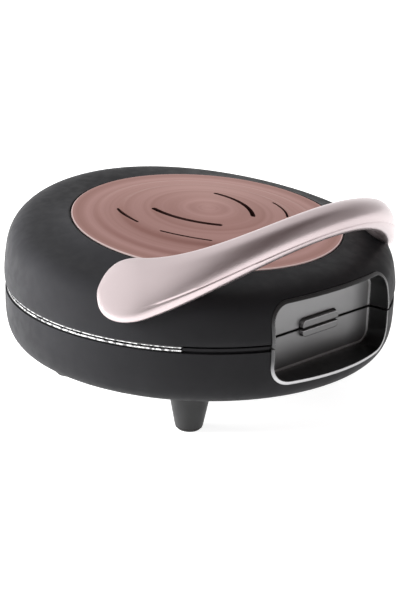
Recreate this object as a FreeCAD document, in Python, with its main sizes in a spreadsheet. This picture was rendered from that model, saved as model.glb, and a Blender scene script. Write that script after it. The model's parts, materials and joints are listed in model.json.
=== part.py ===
import FreeCAD, Part
import Sketcher
import os
import re
from math import cos, hypot, pi, radians, sin, sqrt, tan
from FreeCAD import Placement, Rotation, Vector

# A seven-ring electric donut maker: round base on four feet, wedge-shaped lid on a rear hinge,
# bow handle over the front, and a sprung latch in a hand recess.
# Lengths are in mm. +Z is up, the front is -Y and the hinge is at +Y.
# The sub-parts are drawn about the vertical axis of the round body, with the floor at z = 0.

SIZES = (
    # Round body and its rims
    ("body_radius", 115.0, "outer radius of both shells at the seam"),
    ("plan_scale", "=body_radius / 115", "body radius as a share of the size it was drawn at"),
    ("recess_depth", 21.0, "body radius to the recess panel's face"),
    ("recess_panel_front", "=body_radius - recess_depth", "body axis to the recess panel's face"),
    ("latch_room", 19.5, "recess panel's face to the plates' straight front edge"),
    ("seam_height", 61.0, "floor to the seam between lid and base"),
    ("rim_gap", 2.1, "seam plane to each shell's rim"),
    ("shell_wall", 2.6, "wall of both shells"),
    ("deck_thickness", 2.4, "flat front deck inside each rim"),
    ("mouth_lip", 1.0, "how far each rim stands in past the wall"),
    # Base shell
    ("base_depth", 36.0, "seam plane to the underside of the base"),
    ("base_floor_radius", 84.0, "flat part of the underside"),
    ("base_corner_reach", 112.0, "how far out the lower corner pulls"),
    ("base_side_pull", 30.0, "how far down the side stays steep"),
    ("base_bulge", 0.5, "swell of the base's side"),
    ("bead_radius_inset", 0.7, "body radius to the bead between the rims"),
    ("bead_neck", 1.3, "depth of the groove under the bead"),
    ("bead_low", 0.7, "seam plane down to the bead's underside"),
    ("bead_high", 0.9, "seam plane up to the bead's top"),
    # Lid shell, with separate values for its front, sides and back
    ("lid_wall_front", 28.0, "how far up the front stays steep"),
    ("lid_wall_side", 42.5, "how far up the sides stay steep"),
    ("lid_wall_back", 49.2, "how far up the back stays steep"),
    ("lid_bulge_front", 0.5, "swell of the front"),
    ("lid_bulge_side", 1.1, "swell of the sides"),
    ("lid_bulge_back", 3.6, "swell of the back"),
    ("lid_shoulder_front", 30.0, "height of the front shoulder's pull"),
    ("lid_shoulder_side", 26.3, "height of the side shoulder's pull"),
    ("lid_shoulder_back", 47.5, "height of the back shoulder's pull"),
    ("lid_shoulder_inset", 13.1, "body radius to the front and side shoulder's pull"),
    ("lid_shoulder_inset_back", 17.6, "body radius to the back shoulder's pull"),
    # Round top disc
    ("disc_radius", "=80 * plan_scale", "outer radius of the top disc"),
    ("disc_forward", 4.6, "body axis to the disc's centre"),
    ("disc_rise", 38.6, "seam plane to the lid's top at the disc's centre"),
    ("disc_tilt", 4.2, "tilt of the disc towards the front, in degrees"),
    ("disc_thickness", 2.0, "sheet of the disc"),
    ("disc_seat_depth", 1.4, "how deep the disc sits in the lid"),
    ("disc_gap", 0.5, "gap around the disc"),
    ("disc_border", 0.8, "level border of the lid around the disc"),
    ("disc_bevel", 0.7, "bevel round the disc's top edge"),
    ("dome_foot", 66.0, "radius where the disc's outer step starts"),
    ("dome_shelf", 53.0, "radius where the disc's inner step starts"),
    ("dome_step", 4.5, "width of each step"),
    ("dome_shoulder", 27.0, "radius of the crown's shoulder"),
    ("foot_rise", 0.5, "disc's rim to the foot of its outer step"),
    ("shelf_rise_outer", 1.5, "disc's rim to the outer end of the shelf"),
    ("shelf_rise_inner", 2.2, "disc's rim to the inner end of the shelf"),
    ("crown_rise", 3.8, "disc's rim to the edge of the crown"),
    ("shoulder_rise", 5.6, "disc's rim to the crown's shoulder"),
    ("dome_rise", 6.6, "disc's rim to its highest point"),
    # Cooking plates
    ("plate_gap", 1.0, "gap between the closed plates"),
    ("plate_edge_inset", 1.0, "body radius to the plates' thin edge"),
    ("plate_edge_thickness", 1.2, "thickness of the plates' thin edge"),
    ("plate_thickness", 4.0, "thickness of the plates between the rings"),
    ("plate_chord", "=recess_panel_front - latch_room", "body axis to the plates' straight front edge"),
    ("plate_fit", 0.8, "gap between each plate and its shell"),
    ("ring_centre_back", "=15 * plan_scale", "body axis to the middle ring's centre"),
    ("ring_pitch", "=62 * plan_scale", "middle ring to the outer rings"),
    ("ring_radius", "=19 * plan_scale", "centre line of a ring mould"),
    ("ring_tube", 9.0, "depth and half width of a ring mould"),
    ("ring_wall", 2.5, "metal under a ring mould"),
    ("boss_radius", 4.5, "screw bosses under the plates"),
    # Heaters and pans
    ("heater_tube", 3.3, "radius of the tubular heaters"),
    ("heater_gap", 0.2, "gap on both sides of a heater"),
    ("heater_opening", 40.0, "angle left open at the back of a heater, in degrees"),
    ("heater_bend", 7.0, "bend radius of a heater's legs"),
    ("heater_leg", 5.0, "straight end of a heater's legs"),
    ("pan_radius", "=72 * plan_scale", "reflector pans"),
    ("pan_sheet", 0.8, "sheet of the reflector pans"),
    ("pan_lip", 4.0, "turned lip of the reflector pans"),
    ("pan_hole_gap", 2.0, "gap around what goes through a pan"),
    # Screws
    ("screw_radius", 2.0, "shank of the plate screws"),
    ("screw_length", 24.0, "shank length of the plate screws"),
    ("screw_head_radius", 3.9, "head of every screw"),
    ("screw_head_height", 2.4, "head height of every screw"),
    ("screw_gap", 0.3, "gap around a screw in what it passes through"),
    ("screw_bite_gap", 0.05, "gap around a screw in what it holds"),
    ("post_wall", 1.6, "wall of a screw post around the head's counterbore"),
    ("lower_seat_depth", 3.0, "underside of the base to the lower screws' seat"),
    ("upper_seat_height", 33.5, "seam plane to the upper screws' seat"),
    # Hand recess
    ("recess_half_width", 44.0, "half width of the panel"),
    ("recess_top", 20.5, "seam plane to the panel's top edge"),
    ("recess_bottom", 21.3, "seam plane to the panel's bottom edge"),
    ("recess_corner", 8.0, "corner radius of the panel"),
    ("recess_flare", 12.0, "flare of the recess's sides and top, in degrees"),
    ("recess_floor_slope", -1.0, "fall of the recess's floor towards the front, in degrees"),
    ("insert_wall", 2.0, "wall of both recess inserts"),
    ("insert_fit", 0.15, "gap around the recess inserts"),
    ("insert_proud", 0.5, "how far the inserts' rims stand proud"),
    ("insert_gap", 0.6, "seam plane to each insert's panel"),
    # Latch
    ("tab_half_width", 14.5, "half width of the latch tab and catch"),
    ("tab_proud", 2.5, "tab and catch in front of the panel"),
    ("tab_high", 5.0, "seam plane to the tab's top"),
    ("tab_low", 4.6, "seam plane to the catch's underside"),
    ("tab_corner", 2.4, "corner radius of the tab and catch"),
    ("tab_seam", 0.8, "seam plane to the tab and to the catch"),
    ("tab_fit", 0.8, "gap around the tab and the catch in the panel"),
    ("pivot_rise", 12.0, "seam plane to the latch pin"),
    ("pivot_depth", 5.5, "panel's face to the latch pin"),
    ("latch_pin_radius", 1.5, "latch pin"),
    ("pin_fit", 0.05, "running gap around a pin"),
    ("latch_barrel", 3.0, "barrel of the lever around its pin"),
    ("lever_half_width", 9.0, "half width of the lever's arm"),
    ("lever_thickness", 2.4, "thickness of the lever's arm"),
    ("lever_top", 7.0, "pin to the top of the lever"),
    ("catch_ledge", 2.1, "how far the catch reaches in behind the panel"),
    ("hook_gap", 0.8, "gap between hook and catch"),
    ("hook_arm_gap", 0.5, "gap between lever arm and catch"),
    ("hook_height", 2.4, "height of the hook"),
    ("hook_reach", 1.7, "how far the hook goes under the catch"),
    ("ear_width", 3.0, "width of the ears that hold the latch pin"),
    ("ear_gap", 0.6, "gap between lever and ears"),
    ("ear_radius", 3.6, "ears around the latch pin"),
    ("slot_gap", 1.6, "side gap of the tab and catch in the decks"),
    ("slot_depth", 14.0, "recess panel's face to the back of the lever's slot"),
    ("slot_back", "=recess_panel_front - slot_depth", "body axis to the back of the lever's slot"),
    ("spring_sheet", 0.4, "sheet of the leaf spring"),
    ("spring_half_width", 4.0, "half width of the leaf spring"),
    ("spring_foot", 4.0, "length of the spring's fixed foot"),
    ("spring_gap", 0.1, "gap between spring, panel and lever"),
    # Hinge
    ("knuckle_radius", 5.0, "hinge barrels"),
    ("hinge_clearance", 0.8, "body radius to the barrels"),
    ("hinge_pin_radius", 2.0, "hinge pin"),
    ("hinge_lid_half", 20.0, "half length of the lid's barrel"),
    ("hinge_base_length", 14.0, "length of each base barrel"),
    ("hinge_side_gap", 0.4, "gap between barrels"),
    ("hinge_web_root", 7.0, "how far the hinge webs root into the body"),
    ("hinge_head", 1.2, "height of the hinge pin's heads"),
    # Handle
    ("handle_inset", 11.8, "body radius to the middle of the handle"),
    ("handle_reach", "=body_radius - handle_inset", "body axis to the middle of the handle"),
    ("handle_reach_mid", 2.0, "widening of the bow towards its ends"),
    ("handle_reach_end", 8.0, "further widening at its ends"),
    ("handle_sweep", 76.5, "half angle of the bow, in degrees"),
    ("handle_high", 62.8, "seam plane to the middle of the handle"),
    ("handle_low", 25.5, "seam plane to the ends of the handle"),
    ("handle_drop", 1.83, "how soon the bow drops, as a power"),
    ("grip_height", 8.9, "half height of the grip in the middle"),
    ("grip_spread", 17.0, "extra half height of the pads"),
    ("grip_spread_power", 3.1, "how late the grip spreads into the pads, as a power"),
    ("grip_depth", 8.0, "half depth of the grip in the middle"),
    ("pad_depth", 4.6, "depth of the pads on the outside"),
    ("pad_root", 17.0, "depth of the pads towards the lid"),
    ("grip_lean", 28.0, "lean of the grip in the middle, in degrees"),
    ("pad_lean", 40.0, "lean of the pads, in degrees"),
    ("root_start", 0.45, "where the bow starts to root into the lid, as a share of the half bow"),
    ("root_full", 0.75, "where the pads have their full root, as a share of the half bow"),
    ("pad_tip_depth", 0.3, "depth left at the pads' tips, as a share of the pads' depth"),
    ("cover_end", 0.64, "end of the underside cover, as a share of the half bow"),
    ("pad_end", 0.963, "end of the pads, as a share of the half bow"),
    ("pad_round", 0.17, "share of the half bow that rounds off its end"),
    ("handle_fit", 0.1, "gap between handle, cover and lid"),
    ("cover_depth", 3.2, "depth of the grip's underside cover"),
    ("handle_screw_radius", 1.6, "shank of the handle screws"),
    ("handle_screw_bite", 3.0, "how far the handle screws go into the pads"),
    ("handle_screw_first", 0.8, "first handle screw, as a share of the half bow"),
    ("handle_screw_second", 0.9, "second handle screw, as a share of the half bow"),
    ("handle_boss", 5.0, "depth of the lid's bosses behind the pads"),
    # Feet and pads
    ("foot_ring", 78.0, "body axis to the feet"),
    ("foot_angle", 47.4, "feet from the front, in degrees"),
    ("foot_top_radius", 12.4, "top of a foot"),
    ("foot_bottom_radius", 8.0, "bottom of a foot"),
    ("pad_height", 2.4, "rubber pads"),
    ("pad_bevel", 1.3, "bevel round a pad's underside"),
    ("pad_inset", 0.4, "foot's bottom radius to the pad's"),
    ("stud_radius", 2.6, "stud of a rubber pad"),
    ("stud_height", 6.0, "height of a pad's stud"),
    ("stud_gap", 0.1, "gap around a pad's stud"),
    ("foot_screw_length", 11.0, "shank length of the foot screws"),
    ("foot_screw_radius", 1.8, "shank of the foot screws"),
    # Electrical pieces
    ("thermostat_radius", 8.0, "thermostat body"),
    ("thermostat_height", 7.0, "thermostat body"),
    ("thermostat_back", 34.0, "body axis to the thermostat"),
    ("blade_width", 4.8, "blade terminals"),
    ("blade_sheet", 0.8, "blade terminals"),
    ("blade_length", 5.0, "blade terminals"),
    ("fuse_radius", 2.0, "thermal fuse"),
    ("fuse_length", 12.0, "thermal fuse"),
    ("fuse_lead", 0.6, "thermal fuse leads"),
    ("fuse_back", 2.0, "body axis to the thermal fuse"),
    ("block_length", 30.0, "terminal block"),
    ("block_width", 12.0, "terminal block"),
    ("block_height", 9.0, "terminal block"),
    ("block_back", 52.0, "body axis to the terminal block"),
    ("block_hole", 1.7, "terminal block clamps"),
    ("lead_radius", 1.3, "sleeved inner leads"),
    ("lead_bend", 2.2, "bends of the inner leads"),
    ("gland_drop", 20.0, "seam plane to the cord gland"),
    ("gland_bore", 3.6, "cord gland bore"),
    ("gland_half", 6.0, "half side of the gland's square neck"),
    ("gland_flange", 1.8, "how far the gland's flanges stand out"),
    ("gland_flange_depth", 2.2, "thickness of the gland's flanges"),
    ("gland_fit", 0.2, "gap around the gland's neck"),
)

RING_COUNT = 6
FEET = {"front_left": (-1, -1), "front_right": (1, -1), "rear_left": (-1, 1), "rear_right": (1, 1)}
BOSS_ANGLES = (30, 150, 210, 330)
LEVELS = 9
ROUND_POINTS = 24
BOW_STEPS = 8
END_TURNS = (0, 20, 38, 54, 68, 80)
Z_AXIS = Vector(0, 0, 1)
ORIGIN = Vector(0, 0, 0)

doc = FreeCAD.newDocument("donut_maker")
sheet = doc.addObject("Spreadsheet::Sheet", "Sizes")
for row, (alias, number, meaning) in enumerate(SIZES, start=1):
    sheet.set(f"A{row}", meaning)
    sheet.set(f"B{row}", str(number))
    sheet.setAlias(f"B{row}", alias)
doc.recompute()

ALIAS_WORDS = re.compile(r"\b(" + "|".join(alias for alias, _, _ in SIZES) + r")\b")
nodes = {}


def val(alias):
    """A size as the sheet holds it."""
    return float(sheet.get(alias))


def in_sheet(formula):
    """A formula with each size's word pointing at its cell."""
    return ALIAS_WORDS.sub(r"Sizes.\1", formula)


def bind(item, **formulas):
    """Tie properties to the sheet."""
    for name, formula in formulas.items():
        item.setExpression(name, in_sheet(formula))


def put(item, x="0", y="0", z="0"):
    """Tie an item's place to the sheet."""
    for axis, formula in zip("xyz", (x, y, z)):
        item.setExpression(f"Placement.Base.{axis}", in_sheet(formula))
    return item


def keep(name, item):
    """Name an item as one of the finished sub-parts."""
    item.Label = name
    nodes[name] = item
    return item


def keep_shape(name, shape):
    """A finished sub-part whose free form is set directly."""
    item = doc.addObject("Part::Feature", name)
    item.Shape = shape
    return keep(name, item)


def box(name, length, width, height, x="0", y="0", z="0"):
    item = doc.addObject("Part::Box", name)
    bind(item, Length=length, Width=width, Height=height)
    return put(item, x, y, z)


def rod(name, radius, height, x="0", y="0", z="0", along=None):
    item = doc.addObject("Part::Cylinder", name)
    bind(item, Radius=radius, Height=height)
    if along is not None:
        item.Placement = Placement(ORIGIN, Rotation(Z_AXIS, along))
    return put(item, x, y, z)


def ring(name, radius, tube, x="0", y="0", z="0"):
    item = doc.addObject("Part::Torus", name)
    bind(item, Radius1=radius, Radius2=tube)
    return put(item, x, y, z)


def joined(name, items):
    item = doc.addObject("Part::MultiFuse", name)
    item.Shapes = items
    return item


def without(name, base, tool):
    item = doc.addObject("Part::Cut", name)
    item.Base = base
    item.Tool = tool
    return item


def group(name, items):
    """Several like solids that share one node."""
    item = doc.addObject("Part::Compound", name)
    item.Links = items
    return item


def origin_feature(body, role):
    """One of a body's own origin planes or axes."""
    return next(feature for feature in body.Origin.OriginFeatures if feature.Role == role)


def total(formula):
    """Value of a formula that only adds and subtracts sizes."""
    terms = re.findall(r"([+-]?)\s*([a-z_]+|[0-9.]+)", formula)
    return sum(
        (-1 if sign == "-" else 1) * (float(word) if word[0].isdigit() else val(word))
        for sign, word in terms
    )


def tied_outline(body, plane, corners):
    """A closed sketch in a body whose corners are tied to the sheet."""
    sketch = body.newObject("Sketcher::SketchObject", body.Name + "_outline")
    sketch.AttachmentSupport = [(origin_feature(body, plane), "")]
    sketch.MapMode = "FlatFace"
    places = [Vector(total(across), total(up), 0) for across, up in corners]
    for index, place in enumerate(places):
        following = places[(index + 1) % len(places)]
        sketch.addGeometry(Part.LineSegment(place, following), False)
    for index, corner in enumerate(corners):
        following = (index + 1) % len(corners)
        sketch.addConstraint(Sketcher.Constraint("Coincident", index, 2, following, 1))
        for kind, formula in zip(("DistanceX", "DistanceY"), corner):
            tie = Sketcher.Constraint(kind, -1, 1, index, 1, total(formula))
            number = sketch.addConstraint(tie)
            sketch.setExpression(f"Constraints[{number}]", in_sheet(formula))
    return sketch


def turned(name, corners):
    """A body turned about its own upright axis from a half outline of radius and height."""
    body = doc.addObject("PartDesign::Body", name)
    outline = tied_outline(body, "XZ_Plane", corners)
    turn = body.newObject("PartDesign::Revolution", name + "_turn")
    turn.Profile = outline
    turn.ReferenceAxis = (outline, ["V_Axis"])
    turn.Angle = 360
    return body


def bar(name, width, corners):
    """A body of one side outline of depth and height, padded both ways along X."""
    body = doc.addObject("PartDesign::Body", name)
    pad = body.newObject("PartDesign::Pad", name + "_pad")
    pad.Profile = tied_outline(body, "YZ_Plane", corners)
    pad.Midplane = True
    bind(pad, Length=width)
    return body


def upright(radius, low, high, x=0.0, y=0.0):
    """Plain upright cylinder between two heights, for cutting and joining free forms."""
    return Part.makeCylinder(radius, high - low, Vector(x, y, low))


def block(low, high):
    """Plain box between two corners, for cutting free forms."""
    span = high - low
    return Part.makeBox(span.x, span.y, span.z, low)


# Heights and places that several pieces share

def seam(offset):
    return val("seam_height") + offset


def boss_places():
    """Screw bosses in the gaps between three neighbouring rings."""
    reach = val("ring_pitch") / sqrt(3)
    middle = val("ring_centre_back")
    return [(reach * cos(radians(a)), middle + reach * sin(radians(a))) for a in BOSS_ANGLES]


def mouth_cut(low, high):
    """The D-shaped mouth of a shell, which its cooking plate fills."""
    radius = val("body_radius") - val("shell_wall") - val("mouth_lip")
    chord = -val("plate_chord") - val("plate_fit")
    front = block(Vector(-2 * radius, -2 * radius, low - 1), Vector(2 * radius, chord, high + 1))
    return upright(radius, low, high).cut(front)


def rounded_frame(y, half_width, low, high, corner):
    """Upright rounded rectangle at one depth."""
    edges = []
    for x, z, start in (
        (half_width - corner, high - corner, 0),
        (-half_width + corner, high - corner, 90),
        (-half_width + corner, low + corner, 180),
        (half_width - corner, low + corner, 270),
    ):
        points = [
            Vector(x + corner * cos(radians(start + turn)), y, z + corner * sin(radians(start + turn)))
            for turn in (0, 45, 90)
        ]
        edges.append(Part.Arc(*points).toShape())
    sides = [
        Part.makeLine(edges[k].Vertexes[-1].Point, edges[(k + 1) % 4].Vertexes[0].Point) for k in range(4)
    ]
    return Part.Wire([edge for pair in zip(edges, sides) for edge in pair])


def recess_flare(grow, back):
    """The flared hand recess, grown by a wall, from a depth behind its panel to outside the body."""
    slope = tan(radians(val("recess_flare")))
    floor_slope = tan(radians(val("recess_floor_slope")))
    panel = -val("recess_panel_front")
    frames = []
    for y in (panel + back, -val("body_radius") * 1.15):
        spread = slope * (panel - y) + grow
        drop = floor_slope * (panel - y) + grow
        frames.append(
            rounded_frame(
                y,
                val("recess_half_width") + spread,
                seam(-val("recess_bottom") - drop),
                seam(val("recess_top") + spread),
                val("recess_corner") + spread,
            )
        )
    return Part.makeLoft(frames, True, True)


def recess_opening():
    """What each shell leaves open for its recess insert."""
    fit = val("insert_fit")
    return recess_flare(val("insert_wall") + fit, val("insert_wall") + fit)


def latch_slot(low, high):
    half = val("tab_half_width") + val("slot_gap")
    return block(
        Vector(-half, -val("recess_panel_front"), low), Vector(half, -val("slot_back"), high)
    )


def hinge_axis_y():
    return val("body_radius") + val("hinge_clearance") + val("knuckle_radius")


def knuckle(start, end, low, high):
    """One hinge barrel with its web, along X, and the bore for the pin."""
    reach = hinge_axis_y()
    barrel = Part.makeCylinder(
        val("knuckle_radius"), end - start, Vector(start, reach, seam(0)), Vector(1, 0, 0)
    )
    root = val("body_radius") - val("hinge_web_root")
    web = block(Vector(start, root, seam(low)), Vector(end, reach, seam(high)))
    bore = Part.makeCylinder(
        val("hinge_pin_radius") + val("pin_fit"), end - start, Vector(start, reach, seam(0)), Vector(1, 0, 0)
    )
    return barrel.fuse(web).cut(bore)


# Base shell

def base_solid(inset, rim):
    """The base's outer form, or its hollow when inset by the wall."""
    radius = val("body_radius")
    floor = seam(-val("base_depth")) + inset
    side = Part.BezierCurve()
    side.setPoles([
        Vector(val("base_floor_radius"), 0, floor),
        Vector(val("base_corner_reach") - inset, 0, floor),
        Vector(radius + val("base_bulge") - inset, 0, seam(-val("base_side_pull"))),
        Vector(radius - inset, 0, rim),
    ])
    outline = Part.Wire([
        Part.makeLine(Vector(0, 0, floor), side.getPole(1)),
        side.toShape(),
        Part.makeLine(side.getPole(4), Vector(0, 0, rim)),
        Part.makeLine(Vector(0, 0, rim), Vector(0, 0, floor)),
    ])
    return Part.Face(outline).revolve(ORIGIN, Z_AXIS, 360)


def base_bead():
    """Bead that fills the seam in front of the plates, over a groove."""
    outer = val("body_radius") - val("bead_radius_inset")
    neck = outer - val("bead_neck")
    inner = neck - val("shell_wall")
    bead = upright(outer, seam(-val("bead_low")), seam(val("bead_high")))
    bead = bead.fuse(upright(neck, seam(-val("rim_gap")), seam(0)))
    bead = bead.cut(upright(inner, seam(-val("rim_gap")) - 1, seam(val("bead_high")) + 1))
    chord = -val("plate_chord") - val("plate_fit")
    wide = 2 * val("body_radius")
    return bead.common(block(Vector(-wide, -wide, 0), Vector(wide, chord, 2 * seam(0))))


def gland_seat():
    """Flat boss in the base's back for the cord gland."""
    half = val("gland_half") + 2 * val("gland_flange")
    back = val("body_radius") - val("insert_fit")
    front = back - 2 * val("shell_wall")
    middle = seam(-val("gland_drop"))
    return block(Vector(-half, front, middle - half), Vector(half, back, middle + half))


def foot_places():
    angle = radians(val("foot_angle"))
    reach = val("foot_ring")
    return {
        name: Vector(side * reach * sin(angle), depth * reach * cos(angle), 0)
        for name, (side, depth) in FEET.items()
    }


def make_base_shell():
    rim = seam(-val("rim_gap"))
    deck = rim - val("deck_thickness")
    floor = seam(-val("base_depth"))
    far = val("hinge_lid_half") + val("hinge_side_gap")
    length = val("hinge_base_length")
    barrels = [
        knuckle(start, start + length, -val("knuckle_radius"), -val("rim_gap"))
        for start in (far, -far - length)
    ]
    shell = base_solid(0, rim).fuse(barrels)
    shell = shell.cut([base_solid(val("shell_wall"), deck), mouth_cut(deck - 1, rim + 1)])
    head_room = val("screw_head_radius") + val("screw_gap")
    shank_room = val("screw_radius") + val("screw_gap")
    posts = [upright(head_room + val("post_wall"), floor, lower_pan_low(), x, y) for x, y in boss_places()]
    shell = shell.fuse(posts + [base_bead(), gland_seat()])
    holes = []
    for x, y in boss_places():
        holes.append(upright(head_room, floor - 1, floor + val("lower_seat_depth"), x, y))
        holes.append(upright(shank_room, floor, lower_pan_low() + 1, x, y))
    for place in foot_places().values():
        holes.append(upright(val("foot_screw_radius") + val("screw_gap"), 0, seam(0), place.x, place.y))
    neck = val("gland_half") + val("gland_fit")
    middle = seam(-val("gland_drop"))
    wide = 2 * val("body_radius")
    holes.append(block(Vector(-neck, 0, middle - neck), Vector(neck, wide, middle + neck)))
    flange = neck + val("gland_flange")
    back = val("body_radius") - val("insert_fit")
    front = back - 2 * val("shell_wall")
    holes.append(block(Vector(-flange, 0, middle - flange), Vector(flange, front, middle + flange)))
    holes.append(block(Vector(-flange, back, middle - flange), Vector(flange, wide, middle + flange)))
    return shell.cut(holes + [recess_opening(), latch_slot(deck - 1, rim + 1)])


def lower_pan_low():
    return seam(
        -val("plate_gap") / 2 - val("ring_tube") - val("ring_wall")
        - 2 * val("heater_gap") - 2 * val("heater_tube") - val("pan_sheet")
    )


def upper_pan_high():
    return 2 * seam(0) - lower_pan_low()


# Lid shell

def blend(front, side, back, turn):
    """A value round the lid, given at its front, sides and back; turn runs from -1 to 1."""
    return side + (back - front) / 2 * turn + ((back + front) / 2 - side) * turn * turn


def disc_placement(lift):
    """The tilted plane of the lid's top, lowered or lifted along its own axis."""
    tilt = Rotation(Vector(1, 0, 0), val("disc_tilt"))
    middle = Vector(0, -val("disc_forward"), seam(val("disc_rise")))
    return Placement(middle + tilt.multVec(Vector(0, 0, lift)), tilt)


def lid_point(share, angle, inset, rim):
    """A point of the lid's skin, from the rim (share 0) to the disc's border (share 1)."""
    radius = val("body_radius") - inset
    turn = sin(angle)
    outward = Vector(cos(angle), sin(angle), 0)
    bulge = blend(val("lid_bulge_front"), val("lid_bulge_side"), val("lid_bulge_back"), turn)
    wall = blend(val("lid_wall_front"), val("lid_wall_side"), val("lid_wall_back"), turn)
    shoulder = blend(val("lid_shoulder_front"), val("lid_shoulder_side"), val("lid_shoulder_back"), turn)
    pull = blend(
        val("lid_shoulder_inset"), val("lid_shoulder_inset"), val("lid_shoulder_inset_back"), turn
    )
    border = val("disc_radius") + val("disc_gap") + val("disc_border")
    poles = (
        outward * radius + Vector(0, 0, rim),
        outward * (radius + bulge) + Vector(0, 0, seam(wall - inset)),
        outward * (radius - pull) + Vector(0, 0, seam(shoulder - inset)),
        disc_placement(-inset).multVec(outward * border),
    )
    rest = 1 - share
    weights = (rest ** 3, 3 * rest * rest * share, 3 * rest * share * share, share ** 3)
    point = Vector()
    for weight, pole in zip(weights, poles):
        point = point + pole * weight
    return point


def smooth_ring(points):
    curve = Part.BSplineCurve()
    curve.interpolate(points, PeriodicFlag=True)
    return Part.Wire([curve.toShape()])


def lid_solid(inset, rim):
    """The lid's outer form, or its hollow when inset by the wall."""
    angles = [2 * pi * k / ROUND_POINTS for k in range(ROUND_POINTS)]
    rings = [
        smooth_ring([lid_point(level / (LEVELS - 1), angle, inset, rim) for angle in angles])
        for level in range(LEVELS)
    ]
    return Part.makeLoft(rings, True, False)


def make_lid_shell():
    rim = seam(val("rim_gap"))
    deck = rim + val("deck_thickness")
    outer = lid_solid(0, rim)
    half = val("hinge_lid_half")
    shell = outer.fuse(knuckle(-half, half, val("rim_gap"), val("knuckle_radius")))
    shell = shell.cut([lid_solid(val("shell_wall"), deck), mouth_cut(rim - 1, deck + 1)])
    top = seam(2 * val("disc_rise"))
    head_room = val("screw_head_radius") + val("screw_gap")
    shank_room = val("screw_radius") + val("screw_gap")
    stubs = []
    holes = []
    for x, y in boss_places():
        stubs.append(upright(head_room + val("post_wall"), upper_pan_high(), top, x, y))
        holes.append(upright(head_room, seam(val("upper_seat_height")), top, x, y))
        holes.append(upright(shank_room, upper_pan_high() - 1, top, x, y))
    depth = handle_seat_depth()
    for axis in handle_screw_axes():
        stubs.append(along_axis(axis, val("screw_head_radius") + val("post_wall"), -depth, val("pad_depth")))
        holes.append(along_axis(axis, val("handle_screw_radius") + val("screw_gap"), -2 * depth, 2 * depth))
        head_end = -depth - val("screw_head_height") - val("screw_gap")
        holes.append(along_axis(axis, head_room, head_end, -depth))
    shell = shell.fuse([stub.common(outer) for stub in stubs])
    seat = Part.makeCylinder(val("disc_radius") + val("disc_gap"), 3 * val("disc_thickness"))
    seat.Placement = disc_placement(-val("disc_seat_depth"))
    return shell.cut(holes + [seat, recess_opening(), latch_slot(rim - 1, deck + 1)])


# Bow handle

def handle_path(share):
    """Middle line of the bow; share runs from -1 at the left pad to 1 at the right pad."""
    angle = radians(val("handle_sweep")) * share
    square = share * share
    reach = val("handle_reach") + val("handle_reach_mid") * square + val("handle_reach_end") * square * square
    rise = val("handle_high") - val("handle_low")
    height = val("handle_low") + rise * max(cos(pi / 2 * share), 0.0) ** val("handle_drop")
    return Vector(reach * sin(angle), -reach * cos(angle), seam(height))


def handle_frame(share):
    """Point of the bow with its outward and upward directions there."""
    step = 0.002
    point = handle_path(share)
    along = (handle_path(min(share + step, 1)) - handle_path(max(share - step, -1))).normalize()
    angle = radians(val("handle_sweep")) * share
    radial = Vector(sin(angle), -cos(angle), 0)
    outward = (radial - along * radial.dot(along)).normalize()
    upward = outward.cross(along)
    if upward.z < 0:
        upward = upward * -1
    lean = radians(val("grip_lean") + (val("pad_lean") - val("grip_lean")) * share * share)
    return (
        point,
        outward * cos(lean) + upward * sin(lean),
        upward * cos(lean) - outward * sin(lean),
    )


def handle_section(share):
    """Half height, outer depth and inner depth of the bow."""
    spread = abs(share)
    past = max(spread - val("pad_end") + val("pad_round"), 0.0) / val("pad_round")
    rounding = sqrt(max(1 - past * past, 0.0))
    height = (val("grip_height") + val("grip_spread") * spread ** val("grip_spread_power")) * rounding
    outer = val("grip_depth") + (val("pad_depth") - val("grip_depth")) * spread * spread
    root = (spread - val("root_start")) / (val("root_full") - val("root_start"))
    root = min(max(root, 0.0), 1.0)
    inner = val("grip_depth") + (val("pad_root") - val("grip_depth")) * root * root * (3 - 2 * root)
    tip = val("pad_tip_depth")
    return height, outer * (tip + (1 - tip) * rounding), inner


def handle_ring(share):
    point, outward, upward = handle_frame(share)
    height, outer, inner = handle_section(share)
    points = []
    for k in range(ROUND_POINTS):
        angle = 2 * pi * k / ROUND_POINTS
        depth = (outer if sin(angle) > 0 else inner) * sin(angle)
        points.append(point + upward * (height * cos(angle)) + outward * depth)
    return smooth_ring(points)


def half_bow():
    """Right half of the bow, lofted from beyond the middle to its rounded end and cut in the middle."""
    start = val("pad_end") - val("pad_round")
    shares = [start * step / BOW_STEPS for step in range(-BOW_STEPS // 2, BOW_STEPS)]
    shares += [start + val("pad_round") * sin(radians(turn)) for turn in END_TURNS]
    bow = Part.makeLoft([handle_ring(share) for share in shares], True, False)
    wide = 2 * val("body_radius")
    return bow.common(block(Vector(0, -wide, 0), Vector(wide, wide, wide)))


def both_sides(half):
    return half.fuse(half.mirror(ORIGIN, Vector(1, 0, 0)))


def cover_ring(share):
    """Section of the space that the underside cover takes, behind the grip."""
    point, outward, upward = handle_frame(share)
    height, _, inner = handle_section(share)
    reach = 2 * height
    near = -inner + val("cover_depth")
    far = -2 * inner
    corners = [
        point + upward * up + outward * out
        for up, out in ((reach, near), (-reach, near), (-reach, far), (reach, far), (reach, near))
    ]
    return Part.makePolygon(corners)


def largest(shape):
    return max(shape.Solids, key=lambda solid: solid.Volume)


def make_handle():
    """The grip with its two pads, and the cover that closes its underside."""
    bow = half_bow().cut(lid_solid(-val("handle_fit"), seam(val("rim_gap"))))
    shares = [val("cover_end") * step / BOW_STEPS for step in range(-BOW_STEPS // 2, BOW_STEPS + 1)]
    space = Part.makeLoft([cover_ring(share) for share in shares], True, False)
    cover = largest(bow.common(space))
    radius = val("handle_screw_radius") + val("screw_bite_gap")
    bites = [
        along_axis(axis, radius, -val("pad_root"), val("handle_screw_bite")) for axis in handle_screw_axes()
    ]
    grip = largest(bow.cut([space] + bites))
    return both_sides(grip), both_sides(cover)


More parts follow.
